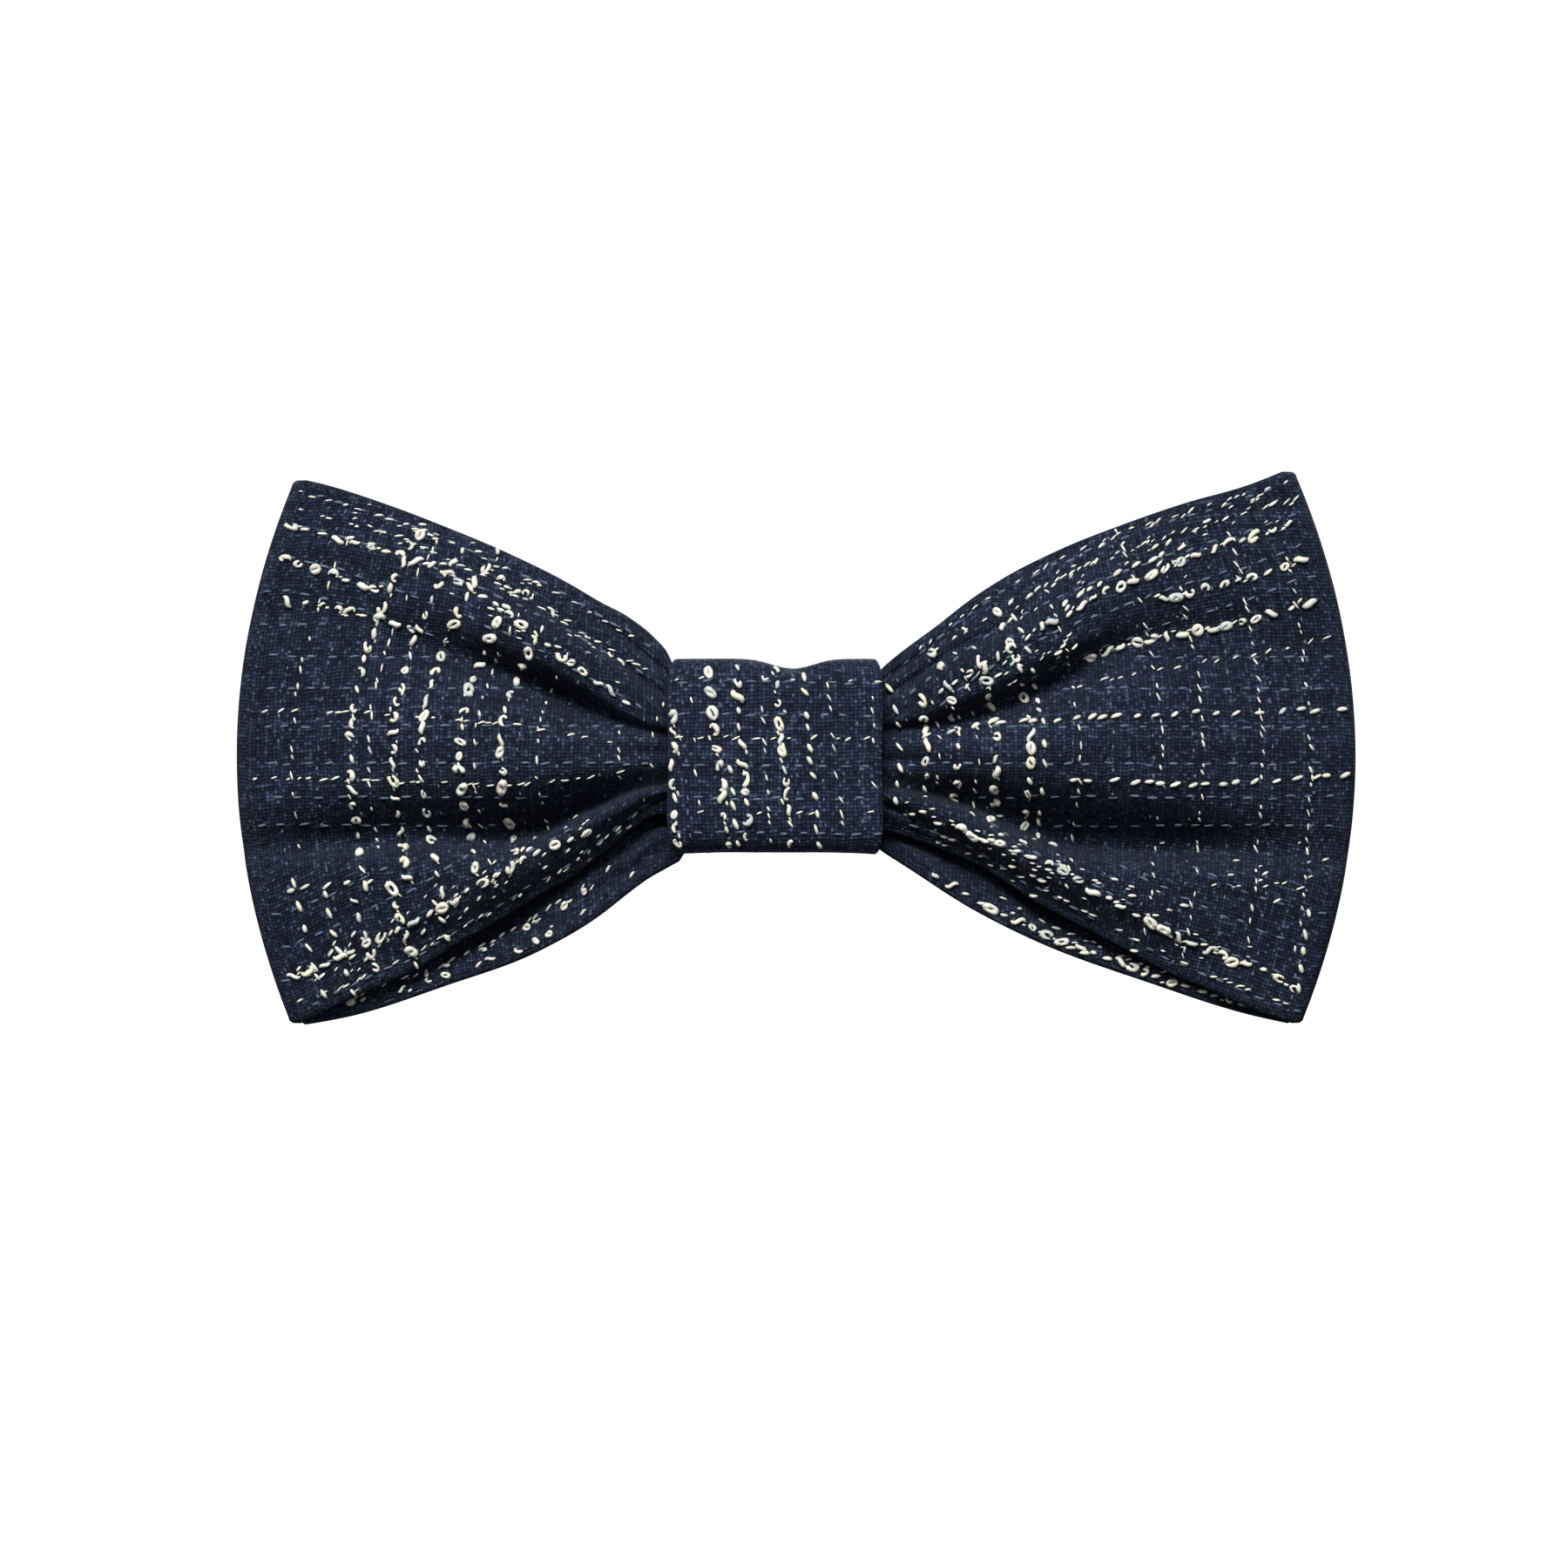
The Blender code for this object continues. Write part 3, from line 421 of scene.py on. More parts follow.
# ---- materials
class Nodes:
    """A material's node tree, with short ways to add the nodes used here."""

    def __init__(self, name):
        self.material = bpy.data.materials.new(name)
        self.material.use_nodes = True
        self.tree = self.material.node_tree
        self.shader = self.tree.nodes["Principled BSDF"]

    def put(self, socket, value):
        if isinstance(value, bpy.types.NodeSocket):
            self.tree.links.new(value, socket)
        else:
            socket.default_value = value

    def node(self, kind, output=0, settings=None, **inputs):
        made = self.tree.nodes.new("ShaderNode" + kind)
        for key, value in (settings or {}).items():
            setattr(made, key, value)
        for key, value in inputs.items():
            self.put(made.inputs[key.replace("_", " ")], value)
        return made.outputs[output]

    def math(self, operation, *values):
        made = self.tree.nodes.new("ShaderNodeMath")
        made.operation = operation
        for socket, value in zip(made.inputs, values):
            self.put(socket, value)
        return made.outputs[0]

    def times(self, first, second):
        return self.math("MULTIPLY", first, second)

    def plus(self, first, second):
        return self.math("ADD", first, second)

    def linear(self, value, slope, start):
        return self.math("MULTIPLY_ADD", value, slope, start)

    def vectors(self, operation, *values, **named):
        made = self.node("VectorMath", 0, {"operation": operation}, **named)
        for socket, value in zip(made.node.inputs, values):
            self.put(socket, value)
        return made

    def mix(self, share, first, second, blend="MIX"):
        made = self.tree.nodes.new("ShaderNodeMix")
        made.data_type, made.blend_type = "RGBA", blend
        for socket, value in zip((made.inputs[0], made.inputs[6], made.inputs[7]), (share, first, second)):
            self.put(socket, value)
        return made.outputs[2]

    def ramp(self, value, stops, constant=False):
        made = self.tree.nodes.new("ShaderNodeValToRGB")
        made.color_ramp.interpolation = "CONSTANT" if constant else "LINEAR"
        elements = made.color_ramp.elements
        while len(elements) < len(stops):
            elements.new(0.5)
        for element, (place, colour) in zip(elements, stops):
            element.position = place
            element.color = (*colour, 1.0)
        self.put(made.inputs[0], value)
        return made.outputs[0]

    def shaded(self, colour, tone):
        """The colour made darker or lighter by a tone about 1."""
        grey = self.node("CombineColor", 0, None, Red=tone, Green=tone, Blue=tone)
        return self.mix(1.0, colour, grey, "MULTIPLY")

    def noise(self, vector, scale, detail=2.0, dimensions="3D", output=0):
        settings = {"noise_dimensions": dimensions}
        return self.node("TexNoise", output, settings, Vector=vector, Scale=scale, Detail=detail)

    def finish(self, colour, roughness, height, distance, strength, **more):
        bump = self.node("Bump", 0, None, Height=height, Distance=distance, Strength=strength)
        for key, value in {"Base Color": colour, "Roughness": roughness, "Normal": bump, **more}.items():
            self.put(self.shader.inputs[key.replace("_", " ")], value)
        return self.material


# The weave's pitch in millimetres.
WARP_PITCH, WEFT_PITCH = 0.43, 0.40
# The ground yarns' colours, each from its share of the yarns up to the next.
GROUND = [
    (0.0, (0.0075, 0.0103, 0.0210)), (0.3, (0.0110, 0.0155, 0.0315)), (0.6, (0.0088, 0.0130, 0.0260)),
    (0.82, (0.0130, 0.0190, 0.0370)), (0.94, (0.0190, 0.0270, 0.0490)), (0.97, (0.0130, 0.0240, 0.0320)),
]
PALE_STITCH = (0.030, 0.040, 0.068, 1.0)


def tweed(name, shade, seed=0.0):
    """Plain-woven navy tweed: each yarn has its own shade, and pale ones surface stitch by stitch."""
    n = Nodes(name)
    uv = n.node("UVMap", 0, {"uv_map": "cloth"})
    wander = n.vectors("SUBTRACT", n.noise(uv, 0.35, 2.0, "2D", 1), (0.5, 0.5, 0.5))
    moved = n.vectors("ADD", uv, n.vectors("SCALE", wander, Scale=0.5))
    split = n.node("SeparateXYZ", 0, None, Vector=moved).node
    across_warp = n.plus(n.math("DIVIDE", split.outputs[0], WARP_PITCH), 200.0 + seed)
    across_weft = n.plus(n.math("DIVIDE", split.outputs[1], WEFT_PITCH), 400.0 + seed)
    warp, weft = n.math("FLOOR", across_warp), n.math("FLOOR", across_weft)
    warp_up = n.math("FLOORED_MODULO", n.plus(warp, weft), 2.0)
    weft_up = n.math("SUBTRACT", 1.0, warp_up)

    round_warp, round_weft = (
        n.math("SINE", n.times(n.math("FRACT", place), math.pi)) for place in (across_warp, across_weft)
    )
    warp_high = n.times(n.math("POWER", round_warp, 0.7), n.linear(round_weft, 0.45, 0.55))
    weft_high = n.times(n.math("POWER", round_weft, 0.7), n.linear(round_warp, 0.45, 0.55))
    height = n.plus(n.times(warp_high, warp_up), n.times(weft_high, weft_up))

    number = n.plus(n.times(n.plus(warp, 3000.5), warp_up), n.times(weft, weft_up))
    yarn = n.node("TexWhiteNoise", 0, {"noise_dimensions": "1D"}, W=number)
    cell = n.node("CombineXYZ", 0, None, X=warp, Y=weft, Z=seed + 0.5)
    stitch = n.node("TexWhiteNoise", 0, {"noise_dimensions": "3D"}, Vector=cell)
    cloth = n.mix(n.times(n.math("GREATER_THAN", stitch, 0.9), 0.4), n.ramp(yarn, GROUND, True), PALE_STITCH)

    fibres = n.noise(moved, 10.0, 3.0, "2D")
    heather = n.noise(moved, 1.1, 2.0, "2D")
    # shade scales the whole tone; below 1 it is painted shade over the whole cloth, as on the wings.
    tone = n.times(shade, n.linear(fibres, 1.7, 0.15))
    # The yarns' height also darkens the tone towards each yarn's edges and into the gaps between yarns:
    # painted shade in the weave.
    for part, slope, start in ((heather, 0.7, 0.65), (height, 1.45, 0.03), (stitch, 1.0, 0.5)):
        tone = n.times(tone, n.linear(part, slope, start))
    relief = n.plus(n.plus(height, n.times(fibres, 0.35)), n.times(stitch, 0.25))
    return n.finish(
        n.shaded(cloth, tone), 0.9, relief, 0.00012, 0.9,
        Specular_IOR_Level=0.06, Sheen_Weight=0.03, Sheen_Roughness=0.5, Sheen_Tint=(0.6, 0.68, 0.9, 1.0),
    )


def spun_yarn(name, stops):
    """Loosely spun slub yarn: each slub its own tint, with fine fibres."""
    n = Nodes(name)
    fibre = n.noise(n.node("TexCoord", 3), 5200.0, 3.0)
    colour = n.shaded(n.ramp(n.node("NewGeometry", 8), stops), n.linear(fibre, 0.9, 0.5))
    return n.finish(colour, 0.8, fibre, 0.00006, 0.8, Specular_IOR_Level=0.1, Sheen_Weight=0.05)


def opaque(colour, tone=1.0):
    """The colour times a tone, with full alpha."""
    return (*(tone * c for c in colour), 1.0)


def brushed_metal(name, colour, roughness, scale):
    """Plated sheet or wire, with fine drawn lines and a little tarnish."""
    n = Nodes(name)
    place = n.node("TexCoord", 3)
    lines = n.noise(n.node("Mapping", 0, None, Vector=place, Scale=scale), 1.0)
    patches = n.noise(place, 420.0, 3.0)
    tint = n.mix(n.times(patches, 0.8), opaque(colour), opaque(colour, 0.72))
    rough = n.plus(n.linear(lines, 0.16, roughness - 0.08), n.times(patches, 0.10))
    return n.finish(tint, rough, lines, 0.00002, 0.35, Metallic=1.0)


def soft_plastic(name, colour):
    """Soft vinyl with a fine pebbled grain."""
    n = Nodes(name)
    place = n.node("TexCoord", 3)
    grain = n.node("TexVoronoi", 0, None, Vector=place, Scale=3800.0)
    cloud = n.noise(place, 500.0, 2.0)
    tint = n.mix(cloud, opaque(colour, 0.8), opaque(colour, 1.15))
    return n.finish(tint, n.linear(cloud, 0.2, 0.4), grain, 0.00005, 0.5)


def twisted_thread(name, colour):
    """Sewing thread: two plies twisted together."""
    n = Nodes(name)
    place = n.node("TexCoord", 3)
    wave = n.node("TexWave", 1, {"bands_direction": "DIAGONAL"}, Vector=place, Scale=900.0, Distortion=1.5)
    fibre = n.noise(place, 6000.0, 2.0)
    # The twist's wave paints the grooves between the plies darker and their crests lighter: painted shade and
    # painted light.
    tint = n.mix(wave, opaque(colour, 0.55), opaque(colour, 1.5))
    return n.finish(tint, n.linear(fibre, 0.2, 0.6), wave, 0.00008, 0.7, Sheen_Weight=0.2)


def interlining(name):
    """Undyed brushed interlining: an open weave with stray fibres."""
    n = Nodes(name)
    place = n.node("TexCoord", 3)
    first, second = (
        n.node("TexWave", 1, {"bands_direction": way}, Vector=place, Scale=420.0, Distortion=0.6)
        for way in "XZ"
    )
    weave = n.times(first, second)
    fibre = n.noise(place, 3000.0, 4.0)
    # The weave's yarns are painted lighter than the gaps between them: painted shade in the open weave, mixed
    # with random fibre tone.
    share = n.linear(fibre, 0.5, n.times(weave, 0.5))
    tint = n.mix(share, (0.40, 0.38, 0.33, 1.0), (0.70, 0.68, 0.61, 1.0))
    return n.finish(tint, 0.92, n.plus(weave, fibre), 0.0002, 0.6, Sheen_Weight=0.2)


# The wings' tweed is the knot's cloth at 0.84 of its tone: painted shade, a darker copy of the same material.
SHADED_WING_TWEED = tweed("tweed", 0.84)
KNOT_TWEED = tweed("tweed_knot", 1.0, seed=37.0)
IVORY = spun_yarn("ivory_slub", [
    (0.0, (0.42, 0.42, 0.36)), (0.35, (0.56, 0.56, 0.48)), (0.6, (0.50, 0.46, 0.41)),
    (0.8, (0.54, 0.54, 0.40)), (1.0, (0.36, 0.38, 0.37)),
])
BLUE = spun_yarn("blue_slub", [
    (0.0, (0.056, 0.074, 0.120)), (0.4, (0.082, 0.104, 0.155)), (0.7, (0.048, 0.084, 0.110)),
    (1.0, (0.088, 0.094, 0.140)),
])
DARK = spun_yarn("navy_fibre", [
    (0.0, (0.010, 0.015, 0.032)), (0.7, (0.022, 0.028, 0.055)), (1.0, (0.045, 0.036, 0.070)),
])
YARNS = (IVORY, BLUE, DARK)
THREAD = twisted_thread("sewing_thread", (0.020, 0.028, 0.060))
CANVAS = interlining("interlining")
STEEL = brushed_metal("clip_steel", (0.68, 0.66, 0.62), 0.30, (900, 9000, 900))
PIN = brushed_metal("pin_steel", (0.74, 0.73, 0.72), 0.22, (9000, 9000, 900))
SPRING = brushed_metal("spring_wire", (0.58, 0.58, 0.58), 0.26, (4000, 4000, 4000))
VINYL = soft_plastic("grip_vinyl", (0.16, 0.17, 0.18))


# ---- the bow's plies
def bow_sheets():
    """The tweed outside, the interlining and the tweed inside, from one grid of the looped strip."""
    places, inward, along = strip()
    across = across_coordinate(places, inward, along)
    edged = with_rolled_edges(places, inward, across, EDGE_ROLL, np.array([0.0, 0.0, 1.0]))
    whole = (places, inward, across)
    trimmed_edges = [part[:, 3:-3] for part in whole]
    layers = (
        ("bow_outer_ply", "tweed", SHADED_WING_TWEED, 0, edged, (0, 0.42)),
        ("bow_interlining", "interlining", CANVAS, 4, trimmed_edges, (0.56, 0.86)),
        ("bow_inner_ply", "tweed", SHADED_WING_TWEED, 2, whole, (1.0, 1.42)),
    )
    for node, slot, look, trimmed, (grid, into, v), (near, far) in layers:
        made = sheet_mesh(node + "_cloth", grid + near * into, grid + far * into, along[:, None], v, look)
        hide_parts(node)


bow_sheets()


# ---- the knot
CORNER_STEPS = 14
WRAP = 0.7
WRAP_ROLL = 0.5 * WRAP
BACK_HALF = 8.5
WRAP_END = 3.5
FILLING_INSET = 1.2


def rounded_path(corners, radii):
    """The corners joined by straight runs, each inner corner rounded to its radius."""
    corners = [np.array(corner, float) for corner in corners]
    path = [corners[0]]
    for before, corner, after, radius in zip(corners, corners[1:], corners[2:], radii):
        back = (before - corner) / np.linalg.norm(before - corner)
        ahead = (after - corner) / np.linalg.norm(after - corner)
        turn = math.acos(np.clip(np.dot(back, ahead), -1, 1))
        centre = corner + (back + ahead) / np.linalg.norm(back + ahead) * radius / math.sin(turn / 2)
        reach = radius / math.tan(turn / 2)
        first, last = corner + back * reach - centre, corner + ahead * reach - centre
        sweep = math.acos(np.clip(np.dot(first, last) / radius**2, -1, 1))
        for u in np.arange(CORNER_STEPS + 1) / CORNER_STEPS:
            blend = math.sin((1 - u) * sweep) * first + math.sin(u * sweep) * last
            path.append(centre + blend / math.sin(sweep))
    path.append(corners[-1])
    return np.array(path)


wrap_outer_turn = knot_high.y / MM - WRAP_ROLL
wrap_inner_turn = wrap_outer_turn - WRAP - 0.1
wrap_front, wrap_top, wrap_bottom = KNOT_FRONT + WRAP_ROLL, KNOT_TOP - WRAP_ROLL, KNOT_BOTTOM + WRAP_ROLL
wrap_corners = [
    (wrap_inner_turn, -WRAP_END), (wrap_inner_turn, wrap_top), (wrap_front, wrap_top),
    (wrap_front, wrap_bottom), (wrap_outer_turn, wrap_bottom), (wrap_outer_turn, WRAP_END),
]
knot_path = rounded_path(wrap_corners, [2.2, 3.2, 3.0, 2.6])
path_length = np.concatenate([[0], np.cumsum(np.linalg.norm(np.diff(knot_path, axis=0), axis=1))])
path_way = np.gradient(knot_path, path_length, axis=0)
path_way /= np.linalg.norm(path_way, axis=1, keepdims=True)
path_out = np.stack([-path_way[:, 1], path_way[:, 0]], 1)
if np.sum(path_out * (knot_path - [-6.0, 0.0])) < 0:
    path_out = -path_out
front_rows = np.where(knot_path[:, 0] < wrap_front + 1e-6)[0]
FRONT_MIDDLE = float(path_length[front_rows[0]] + knot_path[front_rows[0], 1])


def knot_point(x, a, lift=0.0):
    """Places on the knot's outer face, x across it and a down it from its front's middle, and the way in."""
    x, a = np.broadcast_arrays(np.asarray(x, float), np.asarray(a, float))
    place = np.clip(FRONT_MIDDLE + a, 0, path_length[-1])
    y, z = (np.interp(place, path_length, knot_path[:, k]) for k in (0, 1))
    out_y, out_z = (np.interp(place, path_length, path_out[:, k]) for k in (0, 1))
    share = np.clip((y - KNOT_FRONT) / -KNOT_FRONT, 0, 1)
    eased = share**2 * (3 - 2 * share)
    half = KNOT_HALF * (1 - eased) + BACK_HALF * eased
    front = np.clip(-out_y, 0, 1)
    upper = np.clip(out_z, 0, 1) * (1 - 0.3 * share)
    lower = np.clip(-out_z, 0, 1) * (1 - share)
    scaled = x * half / KNOT_HALF
    edge = np.abs(scaled / half)
    shift = WRAP_ROLL - 0.8 * front * edge**3
    shift = shift - 1.3 * upper * np.exp(-(((scaled - 1.9) / 2.9) ** 2))
    shift = shift + 0.35 * lower * (edge**4) + 0.15 * lower
    shift = shift + front * (0.16 * np.sin(0.62 * x + 0.08 * a + 0.6) + 0.09 * np.sin(1.25 * x - 0.12 * a))
    shift = shift + 0.10 * front * np.sin(0.5 * a + 0.3 * x) + lift
    scaled = scaled + 0.10 * np.sin(0.55 * a + x) * edge**3
    places = np.stack([scaled, y + out_y * shift, z + out_z * shift], -1)
    return places, np.stack([0 * out_y, -out_y, -out_z], -1)


def build_knot():
    """The wrapped strip, its long edges turned in."""
    at = np.linspace(-FRONT_MIDDLE, path_length[-1] - FRONT_MIDDLE, 300)
    x = np.linspace(WRAP_ROLL - KNOT_HALF, KNOT_HALF - WRAP_ROLL, 110)
    grid, into = knot_point(x[None, :], at[:, None])
    grid, into, _ = with_rolled_edges(grid, into, grid[:, :, 0], WRAP_ROLL, np.array([1.0, 0.0, 0.0]))
    across = np.concatenate([[0], np.cumsum(np.linalg.norm(np.diff(grid[len(at) // 2], axis=0), axis=1))])
    made = sheet_mesh("knot_cloth", grid, grid + 0.3 * into, across[None, :], at[:, None], KNOT_TWEED)
    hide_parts("knot_wrap")


build_knot()


def knot_filling():
    """The brushed interlining that fills out the knot, open at the back."""
    inside = np.where(knot_path[:, 0] < -5.0)[0]
    at = np.linspace(path_length[inside[0]], path_length[inside[-1]], 120) - FRONT_MIDDLE
    x = np.linspace(FILLING_INSET - KNOT_HALF, KNOT_HALF - FILLING_INSET, 50)
    grid, into = knot_point(x[None, :], at[:, None], -1.05)
    made = sheet_mesh("knot_interlining_cloth", grid, grid + 0.7 * into, x[None, :], at[:, None], CANVAS)
    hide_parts("knot_interlining")


knot_filling()


# ---- slub yarns
IVORY_LOOK, SLATE_LOOK, FIBRE_LOOK = range(3)
FRAME_STEP = 0.12


def unit(vectors):
    return vectors / (np.linalg.norm(vectors, axis=-1, keepdims=True) + 1e-9)


def ring_quads(before, after):
    """Faces between rings of points and the rings that follow them."""
    corners = [before, np.roll(before, -1, 1), np.roll(after, -1, 1), after]
    return np.stack(corners, -1).reshape(-1, 4).tolist()


class Bundle:
    """Many small yarn pieces gathered into one mesh."""

    def __init__(self):
        self.points, self.faces, self.looks, self.count = [], [], [], 0

    def tube(self, path, radii, sides=5, closed=False, look=IVORY_LOOK):
        way = unit(np.roll(path, -1, 0) - np.roll(path, 1, 0) if closed else np.gradient(path, axis=0))
        side = unit(np.cross(way, [0.31, 0.83, 0.46]))
        third = np.cross(way, side)
        angles = 2 * math.pi * np.arange(sides) / sides
        radii = np.broadcast_to(radii, len(path))
        ring = side[:, None] * np.cos(angles)[None, :, None] + third[:, None] * np.sin(angles)[None, :, None]
        points = (path[:, None] + ring * radii[:, None, None]).reshape(-1, 3)
        rings = self.count + np.arange(len(points)).reshape(len(path), sides)
        if closed:
            faces = ring_quads(rings, np.roll(rings, -1, 0))
        else:
            faces = ring_quads(rings[:-1], rings[1:]) + [rings[0, ::-1].tolist(), rings[-1].tolist()]
        self.faces += faces
        self.looks += [look] * len(faces)
        self.points.append(points)
        self.count += len(points)

    def build(self, name):
        mesh = bpy.data.meshes.new(name)
        mesh.from_pydata((np.concatenate(self.points) * MM).tolist(), [], self.faces)
        made = placed(name, mesh, YARNS)
        mesh.polygons.foreach_set("material_index", np.array(self.looks, np.int32))
        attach(made, "bow")


def frames(face, places, ways):
    """Points for the places that a face holds, and directions along the yarn, across it and outwards."""
    surface, outside, holds = face
    kept = holds(places[:, 0], places[:, 1])
    (a, b), way = places[kept].T, ways[kept]
    here = surface(a, b)
    ta, tb = surface(a + FRAME_STEP, b) - here, surface(a, b + FRAME_STEP) - here
    out = unit(np.cross(ta, tb))
    out *= np.sign(np.sum(out * outside(here), axis=1, keepdims=True))
    yarn = unit(ta * way[:, :1] + tb * way[:, 1:])
    return here, yarn, np.cross(out, yarn), out


def walk(line, gap, loose):
    """Places about every `gap` millimetres along a line of (a, b) points, unevenly, with their directions."""
    line = np.array(line, float)
    length = np.concatenate([[0], np.cumsum(np.linalg.norm(np.diff(line, axis=0), axis=1))])
    at, stops = gap * rng.random(), []
    while at < length[-1]:
        stops.append(at)
        at += gap * min(max(1 + loose * rng.normal(), 0.45), 2.2)

    def along(places):
        return np.stack([np.interp(places, length, line[:, k]) for k in (0, 1)], 1)

    stops = np.array(stops)
    return along(stops), unit(along(stops + 0.3) - along(stops - 0.3))


def loop(bundle, at, yarn, side, out, size):
    """A boucle slub, lying on the cloth: a ring, a hook or a twist of thick yarn."""
    kind = rng.random()
    turn = rng.normal(0.1, 0.4)
    ahead = yarn * math.cos(turn) + side * math.sin(turn)
    aside = side * math.cos(turn) - yarn * math.sin(turn)
    length, width = 0.46 * size * rng.uniform(0.75, 1.25), 0.24 * size * rng.uniform(0.7, 1.3)
    thick = 0.21 * size * rng.uniform(0.8, 1.2)
    start = rng.uniform(0, 2 * math.pi)
    if kind < 0.3:
        g = np.linspace(0, 2 * math.pi, 12, endpoint=False)
    elif kind < 0.7:
        g = np.linspace(0, rng.uniform(3.6, 5.2), 9) + start
    else:
        g = np.linspace(-1, 1, 8)
        bend = rng.choice([-1, 1]) * rng.uniform(0.08, 0.26) * size
        path = at + np.outer(g * length * 1.2, ahead) + np.outer(bend * np.sin(2.6 * g), aside)
        path += np.outer(0.14 + 0.12 * np.cos(1.5 * g), out)
        bundle.tube(path, thick * rng.uniform(1.0, 1.35) * (1 - 0.6 * np.abs(g) ** 3))
        return
    rise = 0.15 + 0.07 * np.sin(2 * g + start)
    path = at + np.outer(np.cos(g) * length, ahead) + np.outer(np.sin(g) * width, aside) + np.outer(rise, out)
    radii = thick * (1 + 0.28 * np.sin(g * 2 + 2 * start))
    if kind >= 0.3:
        radii = radii * np.sin(np.linspace(0.45, math.pi - 0.35, len(g))) ** 0.6
    bundle.tube(path, radii, closed=kind < 0.3)


def grain(bundle, at, yarn, side, out, length, thick, look=IVORY_LOOK):
    """One float of a slub yarn between two crossings: a tilted grain, pointed at both ends."""
    tilt = rng.normal(0.05, 0.07) if look == SLATE_LOOK else rng.normal(0.32, 0.14)
    way = yarn * math.cos(tilt) + side * math.sin(tilt)
    g = np.linspace(-1, 1, 7)
    rise = thick * (0.1 if look == SLATE_LOOK else 0.5)
    path = at + np.outer(0.5 * length * g, way) + np.outer(0.6 * rise + rise * (1 - g**2), out)
    bundle.tube(path, thick * np.sqrt(1.02 - np.abs(g) ** 2.2), look=look)


# Each kind of slub yarn: the gap between slubs, how uneven it is, and the grains' lengths and thicknesses.
GRAINS = {
    "heavy": (1.7, 0.14, (0.75, 1.2), (0.16, 0.25)),
    "apart": (3.3, 0.4, (0.7, 1.1), (0.12, 0.2)),
    "medium": (2.0, 0.25, (0.85, 1.35), (0.18, 0.28)),
    "thin": (1.75, 0.5, (0.5, 1.1), (0.09, 0.15)),
    "sparse": (3.4, 0.6, (0.5, 0.9), (0.09, 0.14)),
    "blue": (2.15, 0.14, (0.85, 1.2), (0.12, 0.17)),
    "mark": (2.15, 0.2, (0.4, 0.6), (0.10, 0.15)),
}
LOOP_SIZES = {"heavy": (0.85, 1.35), "apart": (0.65, 1.0)}


def sow(bundle, face, line, kind):
    """Lays one slub yarn along a line on a face."""
    gap, loose, lengths, widths = GRAINS[kind]
    place, way = walk(line, gap, loose)
    look = SLATE_LOOK if kind in ("blue", "mark") else IVORY_LOOK
    for at, yarn, side, out in zip(*frames(face, place + rng.normal(0, 0.08, place.shape), way)):
        if kind not in LOOP_SIZES or rng.random() >= 0.8:
            grain(bundle, at, yarn, side, out, rng.uniform(*lengths), rng.uniform(*widths), look)
            continue
        loop(bundle, at, yarn, side, out, rng.uniform(*LOOP_SIZES[kind]))
        if rng.random() < 0.5:
            beside = at + yarn * rng.uniform(0.6, 1.0) + side * rng.normal(0, 0.3)
            grain(bundle, beside, yarn, side, out, rng.uniform(0.4, 0.8), rng.uniform(0.09, 0.16))


def scatter(bundle, face, line, spread, count):
    """Stray ends of slub yarn, strewn along the outside of a fold."""
    place, way = walk(line, 0.5, 0.5)
    pick = rng.integers(0, len(place), count)
    for spot in zip(*frames(face, place[pick] + rng.normal(0, spread, (count, 2)), way[pick])):
        size = rng.random() ** 2
        grain(bundle, *spot, 0.5 + 0.6 * size, 0.08 + 0.13 * size)


def fray(bundle, face, line, count):
    """Fine navy fibres that stand off the cloth along a line."""
    place, way = walk(line, 0.2, 0.5)
    pick = rng.integers(0, len(place), count)
    g = np.linspace(0, 1, 5)[:, None]
    for at, yarn, side, out in zip(*frames(face, place[pick], way[pick])):
        reach = yarn * rng.normal(0, 0.35) + side * rng.normal(0, 0.3) + out * rng.uniform(0.1, 0.45)
        curl = np.cross(reach, out) * rng.normal(0, 0.8)
        bundle.tube(at + g * reach + g * g * curl, np.linspace(0.035, 0.012, 5), sides=3, look=FIBRE_LOOK)


def bow_face(side, depth, lower_edge, way, margin, lift=0.0):
    """A face of the bow: its places, the way it looks, and the test of what it holds within its margin."""

    def surface(x, z):
        return np.stack([side * x, -(depth(side, x, z, distance_at(side, x, z)) + lift), z], 1)

    def outside(here):
        return np.tile([0.0, way, 0.0], (len(here), 1))

    def holds(x, z):
        distance = distance_at(side, x, z)
        below_top = z < edge_height(side, TOP_EDGE, distance) - margin
        above_low = z > edge_height(side, lower_edge, distance) + margin
        return below_top & above_low & (distance < REACH[side] - 1.0)

    return surface, outside, holds


def away_from_knot(here):
    """Directions out of the knot, from the middle line of its depth."""
    return (here - [0.0, -6.0, 0.0]) * [0.0, 1.0, 1.0]


# How strongly the yarns across each wing are drawn in towards the knot by the folds.
DRAWN_IN = {LEFT: 0.46, RIGHT: 0.26}


def warp_line(side, distance, high, low):
    """A yarn across the strip, drawn in towards the knot, and most above its middle."""
    z = np.linspace(high, low, 24)
    drawn = DRAWN_IN[side] / max(distance - 10, 12) * np.where(z > 0, 1.0, 0.6)
    return np.stack([distance - drawn * z**2, z], 1)


